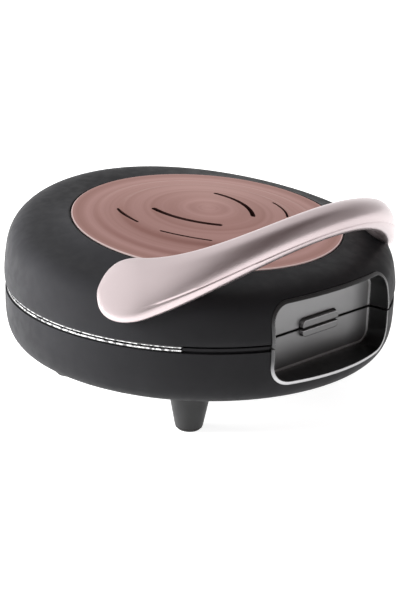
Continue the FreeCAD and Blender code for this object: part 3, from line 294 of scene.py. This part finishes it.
# %% Plastic, rubber and metal finishes
charcoal = moulded(
    "soft_charcoal", (0.0148, 0.0148, 0.0162), (0.0178, 0.0178, 0.0194), 0.55, 2600, 0.006 * MM,
    Specular_IOR_Level=0.1,
)
foot_black = moulded(
    "foot_black", (0.017, 0.017, 0.0175), (0.023, 0.023, 0.0236), 0.45, 2200, 0.008 * MM,
    Specular_IOR_Level=0.3,
)
rubber = moulded("pad_rubber", (0.012, 0.012, 0.012), (0.02, 0.0195, 0.019), 0.75, 1500, 0.04 * MM)
ceramic = moulded("ceramic", (0.62, 0.58, 0.5), (0.72, 0.68, 0.6), 0.5, 900, 0.03 * MM)
sleeve = moulded("lead_sleeve", (0.5, 0.47, 0.42), (0.6, 0.57, 0.52), 0.6, 1800, 0.05 * MM)
steel = plain_metal("plated_steel", (0.42, 0.42, 0.43), (0.58, 0.58, 0.59), 0.3, 1600, 0.01 * MM)
sheath = plain_metal("heater_sheath", (0.16, 0.14, 0.12), (0.3, 0.27, 0.24), 0.45, 900, 0.02 * MM)
sheet_metal = plain_metal("bright_sheet", (0.66, 0.66, 0.67), (0.8, 0.8, 0.8), 0.28, 700, 0.02 * MM)
print("plain finishes:", len(bpy.data.materials))

# %% [markdown]
# Each recess insert is one moulding with three finishes: a satin grey panel at the back, painted lighter
# towards its top as painted light and ringed by a thin painted highlight line, flared walls that are nearly
# black, and a silver rim with a painted highlight on its lower part. Splitting the mesh into materials
# would leave jagged borders, so one material finds its zones by itself: the panel by the way it faces,
# the line by its distance from a rounded rectangle, and the rim by its distance from the body's axis.

# %% Recess finish
SOFT_CORNER = 1.6 * MM
# Where the painted highlight line around the panel starts and where it is full
PANEL_HIGHLIGHT_START, PANEL_HIGHLIGHT_FULL = 1.9 * MM, 1.4 * MM
RIM_START, RIM_FULL = 8 * MM, 6 * MM
# Height below the seam where the rim's painted highlight fades out
RIM_HIGHLIGHT_END_BELOW_SEAM = 6 * MM


def recess_finish():
    """Satin grey panel with painted light, a painted highlight edge, near-black walls and a silver rim."""
    finish = Finish("recess_satin")
    normal = finish.rounded(SOFT_CORNER)
    front = finish.spread(finish.along(normal, (0, -1, 0)), 0, 1, 0.75, 0.95)
    parts = finish.node("ShaderNodeSeparateXYZ")
    finish.link(finish.place(), parts.inputs[0])
    middle = SEAM + (PANEL_TOP - PANEL_BOTTOM) / 2
    across = finish.beyond(parts.outputs["X"], 0, PANEL_HALF - PANEL_CORNER)
    upward = finish.beyond(parts.outputs["Z"], middle, (PANEL_TOP + PANEL_BOTTOM) / 2 - PANEL_CORNER)
    edge = finish.math("POWER", finish.math("ADD", finish.square(across), finish.square(upward)), 0.5)
    # Painted highlight: a thin light line along the panel's rounded border, standing in for light on a
    # fillet.
    panel_highlight = finish.spread(edge, 0, 1, PANEL_CORNER - PANEL_HIGHLIGHT_START, PANEL_CORNER - PANEL_HIGHLIGHT_FULL)
    # Painted light: the panel's grey is painted lighter towards its top, with a noisy border.
    drift = finish.math("ADD", parts.outputs["Z"], finish.math("MULTIPLY", finish.noise(60), 6 * MM))
    painted_light_rise = finish.spread(drift, 0, 1, SEAM - PANEL_BOTTOM, SEAM + PANEL_TOP)
    panel = finish.colours(painted_light_rise, (0.135, 0.135, 0.137), (0.25, 0.25, 0.253), 0, 1)
    panel = finish.mix(panel_highlight, panel, (0.62, 0.62, 0.625))
    outer = finish.spread(finish.reach(BODY_Y), 0, 1, BODY_RADIUS - RIM_START, BODY_RADIUS - RIM_FULL)
    sideways = finish.spread(finish.outward(normal, BODY_Y), 0, 1, 0.55, 0.85)
    rim = finish.math("MULTIPLY", outer, sideways)
    inside = finish.mix(front, (0.0045, 0.0045, 0.0047), panel)
    # Painted highlight: the silver rim is painted bright on its lower part and dim above, as light falls.
    bright = finish.spread(parts.outputs["Z"], 1, 0, SEAM - PANEL_BOTTOM, SEAM - RIM_HIGHLIGHT_END_BELOW_SEAM)
    silver = finish.mix(bright, (0.09, 0.09, 0.092), (0.52, 0.52, 0.53))
    finish.set("Base Color", finish.mix(rim, inside, silver))
    finish.set("Metallic", finish.math("MAXIMUM", finish.math("MULTIPLY", front, 0.6), rim))
    finish.set("Roughness", finish.spread(finish.noise(240, 3), 0.3, 0.38))
    finish.bump(finish.noise(2600, 2), 0.003 * MM, 0.6 * MM)
    return finish.material


recess_satin = recess_finish()
print("recess panel", round(2 * PANEL_HALF / MM), "mm wide")

# %% [markdown]
# The latch tab and the catch under it look like two small cushions. Their CAD edges are square, so a
# bevel node makes soft lips; the lips that face up get a painted highlight and those that face down a
# near-black painted shade. The plates carry a dark non-stick coat with a faint fleck. Their machined edge
# in the seam is bare metal, and its glitter is painted glints: a noise between dull and bright metal
# colour, simpler than modelled tool marks would be.

# %% Tab and plate finishes
LIP = 1.2 * MM
BARE_START, BARE_FULL = 2.6 * MM, 2.2 * MM
BARE_LOW, BARE_HIGH, BARE_BLEND = 1.5 * MM, 1.1 * MM, 0.3 * MM


def tab_finish():
    """Satin grey tab halves: painted highlight on their upper lips, near-black painted shade underneath."""
    finish = Finish("tab_satin", Metallic=0.5)
    normal = finish.rounded(LIP)
    # Painted highlight on lips that face up and painted shade on lips that face down
    upper = finish.spread(finish.along(normal, (0, 0, 1)), 0, 1, 0.05, 0.5)
    lower = finish.spread(finish.along(normal, (0, 0, -1)), 0, 1, 0.1, 0.45)
    grey = finish.mix(upper, (0.17, 0.17, 0.172), (0.42, 0.42, 0.425))
    finish.set("Base Color", finish.mix(lower, grey, (0.003, 0.003, 0.003)))
    finish.set("Roughness", finish.spread(finish.noise(240, 3), 0.32, 0.4))
    finish.bump(finish.noise(2400, 3), 0.006 * MM, 0.5 * MM)
    return finish.material


def plate_finish():
    """Dark coat with a faint fleck; the machined edge at the seam is bare, with painted glints."""
    finish = Finish("coated_plate")
    height = finish.along(finish.place(), (0, 0, 1))
    outer = finish.spread(finish.reach(BODY_Y), 0, 1, BODY_RADIUS - BARE_START, BODY_RADIUS - BARE_FULL)
    low = finish.spread(height, 0, 1, SEAM - BARE_LOW, SEAM - BARE_LOW + BARE_BLEND)
    high = finish.spread(height, 1, 0, SEAM + BARE_HIGH - BARE_BLEND, SEAM + BARE_HIGH)
    bare = finish.math("MULTIPLY", outer, finish.math("MULTIPLY", low, high))
    fleck = finish.spread(finish.noise(1400, 2), 0, 1, 0.62, 0.72)
    coat = finish.mix(fleck, (0.016, 0.016, 0.0165), (0.06, 0.06, 0.062))
    # Painted glints: random spots of the bare edge painted from dark grey up to white
    painted_glint = finish.colours(finish.noise(420, 3), (0.16, 0.16, 0.165), (1.0, 1.0, 1.0), 0.4, 0.56)
    finish.set("Base Color", finish.mix(bare, coat, painted_glint))
    finish.set("Metallic", bare)
    finish.set("Roughness", finish.spread(finish.noise(500, 3), 0.25, 0.42))
    finish.bump(finish.noise(700, 3), 0.08 * MM, 0.4 * MM)
    return finish.material


tab_grey = tab_finish()
coated = plate_finish()
print("bare plate edge", round((BARE_LOW + BARE_HIGH) / MM, 1), "mm high")

# %% [markdown]
# The disc is spun metal in a rose tone, with fine rings about its own axis, stretched highlights and a
# painted highlight along its edge. The rings could be modelled, but thousands of grooves would be wasted
# at this size, so a noise along the radius drives roughness and bump, and a radial tangent turns the
# highlights.
# The handle has a satin champagne coat under a thin clear layer. It is left plain on purpose: its look
# comes from the soft bright and dark fields that it mirrors.

# %% Disc and handle finishes
# Where the painted highlight along the disc's edge starts and where it is full
DISC_HIGHLIGHT_START, DISC_HIGHLIGHT_FULL = 1.3 * MM, 1.0 * MM


def disc_finish():
    """Spun rose metal with a painted highlight along its edge."""
    finish = Finish("spun_rose", Metallic=1.0, Anisotropic=0.3, Specular_Tint=(1, 0.9, 0.87, 1))
    reach = finish.reach()
    rings = finish.bands(reach, 3600, 3)
    rose = finish.colours(finish.bands(reach, 110), (0.335, 0.176, 0.154), (0.455, 0.268, 0.248))
    # Painted highlight: a lighter band along the disc's edge, standing in for light on its chamfer
    edge = finish.spread(reach, 0, 1, DISC_RADIUS - DISC_HIGHLIGHT_START, DISC_RADIUS - DISC_HIGHLIGHT_FULL)
    finish.set("Base Color", finish.mix(edge, rose, (0.78, 0.62, 0.6)))
    finish.set("Roughness", finish.spread(rings, 0.38, 0.46))
    tangent = finish.node("ShaderNodeTangent", direction_type="RADIAL", axis="Z")
    finish.link(tangent.outputs[0], finish.shader.inputs["Tangent"])
    finish.bump(rings, 0.004 * MM)
    return finish.material


def grip_finish():
    """Satin champagne coat under a thin clear layer."""
    finish = Finish("champagne_satin", Metallic=0.9, Coat_Weight=0.3, Coat_Roughness=0.35)
    finish.set("Base Color", finish.colours(finish.noise(25), (0.62, 0.528, 0.535), (0.66, 0.568, 0.576)))
    finish.set("Roughness", finish.spread(finish.noise(700, 3), 0.3, 0.35))
    finish.bump(finish.noise(4200, 2), 0.001 * MM)
    return finish.material


spun_rose = disc_finish()
champagne = grip_finish()
print("finishes in all:", len(bpy.data.materials))

# %% [markdown]
# ## Dressing the CAD pieces
#
# Each CAD node is one real piece in one material, so a table from names to finishes is all that is
# needed. Feet and pads come in fours and go by the start of their names. Small metal pieces that the
# table doesn't name are plated steel.

# %% Dress the CAD nodes that stay
NODE_FINISH = {
    "base_shell": charcoal, "lid_shell": charcoal, "lid_disc": spun_rose,
    "handle_grip": champagne, "handle_underside": charcoal,
    "lid_recess_insert": recess_satin, "base_recess_insert": recess_satin,
    "latch_catch": tab_grey, "latch_lever": tab_grey,
    "lower_plate": coated, "upper_plate": coated,
    "lower_heater": sheath, "upper_heater": sheath,
    "lower_pan": sheet_metal, "upper_pan": sheet_metal,
    "cord_gland": rubber, "thermostat": ceramic, "terminal_block": ceramic,
    "base_leads": sleeve, "lid_leads": sleeve,
}
for name, node in nodes.items():
    if name.startswith("foot_pad"):
        finish = rubber
    elif name.startswith("foot_") and name != "foot_screws":
        finish = foot_black
    else:
        finish = NODE_FINISH.get(name, steel)
    node.data.materials.clear()
    node.data.materials.append(finish)
print("dressed", len(nodes), "nodes")

# %% [markdown]
# ## Mesh kit
#
# The disc and the bow are both rows of closed rings: turned rings for the disc, swept rings for the bow.
# Curve objects with a bevel could give rough versions, but bmesh rings keep full control of every section
# and give clean quads. Sharp corners are marked by angle after smoothing, so that bevels stay crisp and
# curves stay soft. Slots are cut by an exact boolean, and the cutters are thrown away afterwards.

# %% Mesh helpers
SHARP_ANGLE = radians(32)


def add_piece(name, mesh, material, body, replaced=(), place=None):
    """A finished piece that rides on a body and stands for the CAD nodes it covers."""
    mesh.polygons.foreach_set("use_smooth", [True] * len(mesh.polygons))
    mesh.set_sharp_from_angle(angle=SHARP_ANGLE)
    piece = bpy.data.objects.new(name, mesh)
    if place is not None:
        piece.matrix_world = place
    bpy.context.scene.collection.objects.link(piece)
    mesh.materials.clear()
    mesh.materials.append(material)
    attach(piece, body)
    if replaced:
        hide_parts(*replaced)
    print(name, len(mesh.vertices), "points")
    return piece


def ring_mesh(name, rings):
    """Closed mesh of rings of equal count, with a cap at both ends."""
    form = bmesh.new()
    rows = [[form.verts.new(point) for point in ring] for ring in rings]
    count = len(rows[0])
    for lower, higher in zip(rows, rows[1:]):
        for k in range(count):
            after = (k + 1) % count
            form.faces.new((lower[k], lower[after], higher[after], higher[k]))
    form.faces.new(list(reversed(rows[0])))
    form.faces.new(rows[-1])
    bmesh.ops.recalc_face_normals(form, faces=form.faces)
    mesh = bpy.data.meshes.new(name)
    form.to_mesh(mesh)
    form.free()
    return mesh


def cut_away(mesh, tools):
    """The mesh with the tool meshes cut out of it."""
    stock = bpy.data.objects.new("stock", mesh)
    bpy.context.scene.collection.objects.link(stock)
    spare = [stock]
    for tool_mesh in tools:
        tool = bpy.data.objects.new("tool", tool_mesh)
        bpy.context.scene.collection.objects.link(tool)
        step = stock.modifiers.new("cut", "BOOLEAN")
        step.operation = "DIFFERENCE"
        step.solver = "EXACT"
        step.object = tool
        spare.append(tool)
    graph = bpy.context.evaluated_depsgraph_get()
    result = bpy.data.meshes.new_from_object(stock.evaluated_get(graph))
    for item in spare:
        bpy.data.objects.remove(item)
    return result


def smooth_step(value, start, end):
    """Share from 0 to 1 between two values, with soft ends."""
    share = min(max((value - start) / (end - start), 0.0), 1.0)
    return share * share * (3 - 2 * share)


# %% [markdown]
# ## Domed top disc
#
# The disc is a pressed cap that rises in two soft steps to a low dome, with arc slots that let the dark
# lid show through. It could be sculpted from a flat circle, but a turned profile is exact: each ring's
# height is a sum of two smooth steps and a dome, so the steps keep even ridges all the way round. The
# slots are real cuts, so they keep their depth and shade from every side.

# %% Disc
DISC_SEGMENTS = 192
DISC_SHEET = 2.0 * MM
DISC_EDGE = DISC_RADIUS - 0.4 * MM
DOME_RISE = 6.6 * MM
# Each step has an outer radius, an inner radius and a rise
DISC_STEPS = ((66.2 * MM, 62.0 * MM, 0.9 * MM), (53.0 * MM, 48.2 * MM, 1.3 * MM))
SLOT_STEPS = 28
FACE_RINGS = 90
# Each slot is an arc through three points, given as radius and angle, with its width
SLOTS = (
    (((31.9, 144.4), (23.9, 205.0), (25.8, 241.0)), 3.0 * MM),
    (((30.0, 37.0), (24.6, 350.0), (26.6, 304.3)), 3.0 * MM),
    (((52.6, 137.6), (49.5, 154.0), (47.6, 168.0)), 1.5 * MM),
    (((46.0, 190.5), (45.2, 210.0), (46.6, 228.0)), 1.5 * MM),
    (((46.2, 348.2), (46.8, 334.0), (46.6, 318.2)), 1.5 * MM),
)


def dome_height(reach):
    """Height of the disc's face over its rim."""
    steps = 0.0
    for outer, inner, rise in DISC_STEPS:
        steps += rise * smooth_step(outer - reach, 0, outer - inner)
    smooth = DOME_RISE - sum(rise for _, _, rise in DISC_STEPS)
    share = reach / DISC_RADIUS
    return steps + smooth * (1 - share * share) ** 2


def circle(radius, height):
    turns = [2 * pi * k / DISC_SEGMENTS for k in range(DISC_SEGMENTS)]
    return [Vector((radius * cos(turn), radius * sin(turn), height)) for turn in turns]


def arc_through(points):
    """Centre of the circle through three points in the disc's plane."""
    first, second, third = points
    side, other = second - first, third - first
    twice = 2 * (side.x * other.y - side.y * other.x)
    across = (other.y * side.length_squared - side.y * other.length_squared) / twice
    along = (side.x * other.length_squared - other.x * side.length_squared) / twice
    return first + Vector((across, along, 0))


def arc_slot(marks, width, low, high):
    """Upright solid of an arc slot with round ends."""
    points = []
    for reach, turn in marks:
        points.append(Vector((cos(radians(turn)), sin(radians(turn)), 0)) * (reach * MM))
    centre = arc_through(points)
    spokes = [point - centre for point in points]
    radius = spokes[0].length
    sweep = sum(Vector(b.xy).angle_signed(Vector(a.xy)) for a, b in zip(spokes, spokes[1:]))
    outline = []
    for k in range(SLOT_STEPS + 1):
        outline.append(Matrix.Rotation(sweep * k / SLOT_STEPS, 3, "Z") @ spokes[0])
    inner = [centre + spoke * (1 - width / 2 / radius) for spoke in outline]
    outer = [centre + spoke * (1 + width / 2 / radius) for spoke in outline]
    onward = 1 if sweep > 0 else -1

    def cap(spoke, side):
        ray = spoke.normalized() * (width / 2)
        ahead = Vector((-ray.y, ray.x, 0)) * side
        return [centre + spoke + ray * cos(t) + ahead * sin(t) for t in (pi / 4, pi / 2, 3 * pi / 4)]

    edge = outer + cap(outline[-1], onward) + inner[::-1] + cap(outline[0], -onward)[::-1]
    return ring_mesh("slot", [[point + Vector((0, 0, z)) for point in edge] for z in (low, high)])


def disc_mesh():
    """Turned disc with its slots cut through."""
    face = [0.5 * MM + (DISC_EDGE - 1.5 * MM) * k / FACE_RINGS for k in range(FACE_RINGS + 1)]
    profile = [(0.4 * MM, 0.0), (DISC_EDGE - 0.3 * MM, 0.0), (DISC_EDGE, 0.3 * MM),
               (DISC_EDGE, DISC_SHEET - 0.7 * MM), (DISC_EDGE - 0.2 * MM, DISC_SHEET - 0.3 * MM),
               (DISC_EDGE - 0.7 * MM, DISC_SHEET)]
    profile += [(reach, DISC_SHEET + dome_height(reach)) for reach in reversed(face)]
    mesh = ring_mesh("top_disc", [circle(radius, height) for radius, height in profile])
    tools = [arc_slot(*slot, -1 * MM, 2 * DOME_RISE) for slot in SLOTS]
    return cut_away(mesh, tools)


disc_centre = AXIS_POINT + Vector((0, -DISC_FORWARD, DISC_RISE))
tilt = Matrix.Rotation(DISC_TILT, 4, "X")
disc_place = Matrix.Translation(disc_centre) @ tilt @ Matrix.Translation((0, 0, -DISC_SEAT))
add_piece("top_disc", disc_mesh(), spun_rose, "lid", ["lid_disc"], disc_place)

# %% [markdown]
# ## Bow handle
#
# The bow is what the hand takes: slim and round over the front, then spreading into two leaning pads that
# lie on the lid's shoulders. It could be a curve with a taper, but its sections change in height, depth and
# lean at once, so each section is worked out from its share of the half bow. Shares crowd together near
# the ends, where the pads round off. A fine parting groove runs along its lower edge, where the underside
# cover meets the grip.

# %% Handle
BOW_REACH = (103.2 * MM, 2.0 * MM, 8.0 * MM)
BOW_SWEEP = radians(76.5)
BOW_HIGH, BOW_LOW, BOW_DROP = 62.8 * MM, 25.5 * MM, 1.83
GRIP_HEIGHT, GRIP_SPREAD, SPREAD_POWER = 8.9 * MM, 17.0 * MM, 3.1
GRIP_DEPTH, PAD_DEPTH, PAD_ROOT = 8.0 * MM, 4.6 * MM, 9.0 * MM
GRIP_LEAN, PAD_LEAN = radians(28), radians(40)
PAD_END, PAD_ROUND = 0.963, 0.17
ROOT_START, ROOT_FULL = 0.45, 0.75
TIP_DEPTH = 0.3
BOW_SECTIONS = 150
BOW_POINTS = 96
GROOVE_ANGLE, GROOVE_HALF, GROOVE_DEPTH = radians(138), radians(2.6), 0.45 * MM


def bow_path(share):
    """Middle of the bow, at a share of the half bow from -1 to 1."""
    angle = BOW_SWEEP * share
    square = share * share
    reach = BOW_REACH[0] + BOW_REACH[1] * square + BOW_REACH[2] * square * square
    height = BOW_LOW + (BOW_HIGH - BOW_LOW) * max(cos(pi / 2 * share), 0.0) ** BOW_DROP
    return AXIS_POINT + Vector((reach * sin(angle), -reach * cos(angle), height))


def bow_frame(share):
    """Point on the bow with its leaning outward and upward directions."""
    step = 0.002
    along = (bow_path(min(share + step, 1)) - bow_path(max(share - step, -1))).normalized()
    angle = BOW_SWEEP * share
    radial = Vector((sin(angle), -cos(angle), 0))
    outward = (radial - along * radial.dot(along)).normalized()
    up = outward.cross(along)
    if up.z < 0:
        up = -up
    lean = GRIP_LEAN + (PAD_LEAN - GRIP_LEAN) * share * share
    return bow_path(share), outward * cos(lean) + up * sin(lean), up * cos(lean) - outward * sin(lean)


def bow_section(share):
    """Half height, outer depth and inner depth."""
    spread = abs(share)
    past = max(spread - PAD_END + PAD_ROUND, 0.0) / PAD_ROUND
    rounding = sqrt(max(1 - past * past, 0.0))
    height = (GRIP_HEIGHT + GRIP_SPREAD * spread ** SPREAD_POWER) * rounding
    outer = GRIP_DEPTH + (PAD_DEPTH - GRIP_DEPTH) * spread * spread
    inner = GRIP_DEPTH + (PAD_ROOT - GRIP_DEPTH) * smooth_step(spread, ROOT_START, ROOT_FULL)
    thinning = TIP_DEPTH + (1 - TIP_DEPTH) * rounding
    return height, outer * thinning, inner * thinning


def bow_ring(share):
    """One section of the bow, with the parting groove's dip."""
    point, outward, up = bow_frame(share)
    height, outer, inner = bow_section(share)
    ring = []
    for k in range(BOW_POINTS):
        angle = 2 * pi * k / BOW_POINTS
        off = abs(angle - GROOVE_ANGLE) / GROOVE_HALF
        dip = GROOVE_DEPTH * max(1 - off, 0.0) * smooth_step(1 - abs(share), 0.1, 0.3)
        depth = (outer if sin(angle) > 0 else inner) * sin(angle)
        rise = height * cos(angle)
        ring.append(point + up * rise + outward * depth - (outward * sin(angle) + up * cos(angle)) * dip)
    return ring


def bow_shares():
    """Places of the sections, closer together towards the rounded ends."""
    start = PAD_END - PAD_ROUND
    middle = int(BOW_SECTIONS * start / 2)
    ends = int(BOW_SECTIONS * PAD_ROUND / 2) + 8
    half = [start * k / middle for k in range(1, middle + 1)]
    half += [start + PAD_ROUND * sin(radians(88.5 * k / ends)) for k in range(1, ends + 1)]
    return [-share for share in reversed(half)] + [0.0] + half


bow = ring_mesh("bow_handle", [bow_ring(share) for share in bow_shares()])
add_piece("bow_handle", bow, champagne, "lid", ["handle_grip", "handle_underside"])

# %% [markdown]
# ## Stage
#
# The object stands on a pale floor in a white studio. The disc and the bow are metal, so what they mirror
# matters more than the lamps: the surround is bright behind and to the left and dim overhead and in front,
# which gives the metal pale edges and one soft dark band. Many area lamps could do that, but a few smooth
# fields in the world are easier to balance. One low broad lamp from the left shapes the dark shells. It is
# kept out of mirrors, so it leaves no hot spot on the bow.

# %% Floor and lamp
FLOOR_HALF = 6.0
LAMP_SIZE, LAMP_POWER = 0.8, 78
AWAY = Vector((-backward.x, -backward.y, 0)).normalized()
LEFT = -level
LAMP_PLACE = AXIS_POINT + LEFT * 1.3 - AWAY * 0.02 + Vector((0, 0, 0.26))


def floor_piece():
    mesh = bpy.data.meshes.new("floor")
    corners = [(x * FLOOR_HALF, y * FLOOR_HALF, 0) for x, y in ((-1, -1), (1, -1), (1, 1), (-1, 1))]
    mesh.from_pydata(corners, [], [(0, 1, 2, 3)])
    finish = Finish("pale_floor", Roughness=0.7, Emission_Strength=0.88)
    finish.set("Base Color", finish.colours(finish.noise(3), (0.6, 0.6, 0.6), (0.62, 0.62, 0.62)))
    mesh.materials.append(finish.material)
    floor = bpy.data.objects.new("floor", mesh)
    bpy.context.scene.collection.objects.link(floor)


def soft_light(name, place, size, power):
    lamp = bpy.data.lights.new(name, "AREA")
    lamp.shape = "DISK"
    lamp.size = size
    lamp.energy = power
    item = bpy.data.objects.new(name, lamp)
    item.location = place
    item.visible_glossy = False
    item.rotation_euler = (AXIS_POINT - place).to_track_quat("-Z", "Y").to_euler()
    bpy.context.scene.collection.objects.link(item)


floor_piece()
soft_light("left_low", LAMP_PLACE, LAMP_SIZE, LAMP_POWER)
print("lamp", round((LAMP_PLACE - AXIS_POINT).length, 2), "m from the body")

# %% Surround
BEHIND = (AWAY + LEFT * 0.45).normalized()


def surround():
    """Soft bright fields behind, on the left and low on the right, over a dim warm rest."""
    world = bpy.data.worlds.new("surround")
    world.use_nodes = True
    kit = NodeKit(world.node_tree)
    coords = kit.node("ShaderNodeTexCoord").outputs["Generated"]
    height = kit.along(coords, (0, 0, 1))
    sideways = kit.along(coords, LEFT)
    behind = kit.spread(kit.along(coords, BEHIND), 0, 1, -0.36, 0.2)
    behind = kit.math("MULTIPLY", behind, kit.spread(height, 1, 0.68, 0.12, 0.55))
    behind = kit.math("MULTIPLY", behind, kit.spread(sideways, 0.45, 1, -0.8, -0.2))
    beside = kit.spread(sideways, 0, 0.85, 0.1, 0.65)
    beside = kit.math("MULTIPLY", beside, kit.spread(height, 1, 0, 0.75, 0.97))
    across = kit.spread(sideways, 0.22, 0, -0.85, -0.35)
    across = kit.math("MULTIPLY", across, kit.spread(height, 1, 0, 0.6, 0.9))
    glow = kit.math("MAXIMUM", kit.math("MAXIMUM", behind, beside), across)
    light = kit.colours(glow, (0.08, 0.054, 0.052), (1.2, 1.2, 1.2), 0, 1)
    path = kit.node("ShaderNodeLightPath")
    seen = kit.mix(path.outputs["Is Camera Ray"], light, (1.0, 1.0, 1.0))
    kit.link(seen, world.node_tree.nodes["Background"].inputs["Color"])
    bpy.context.scene.world = world


surround()
bpy.context.scene.view_settings.view_transform = "Standard"
print("stage ready")
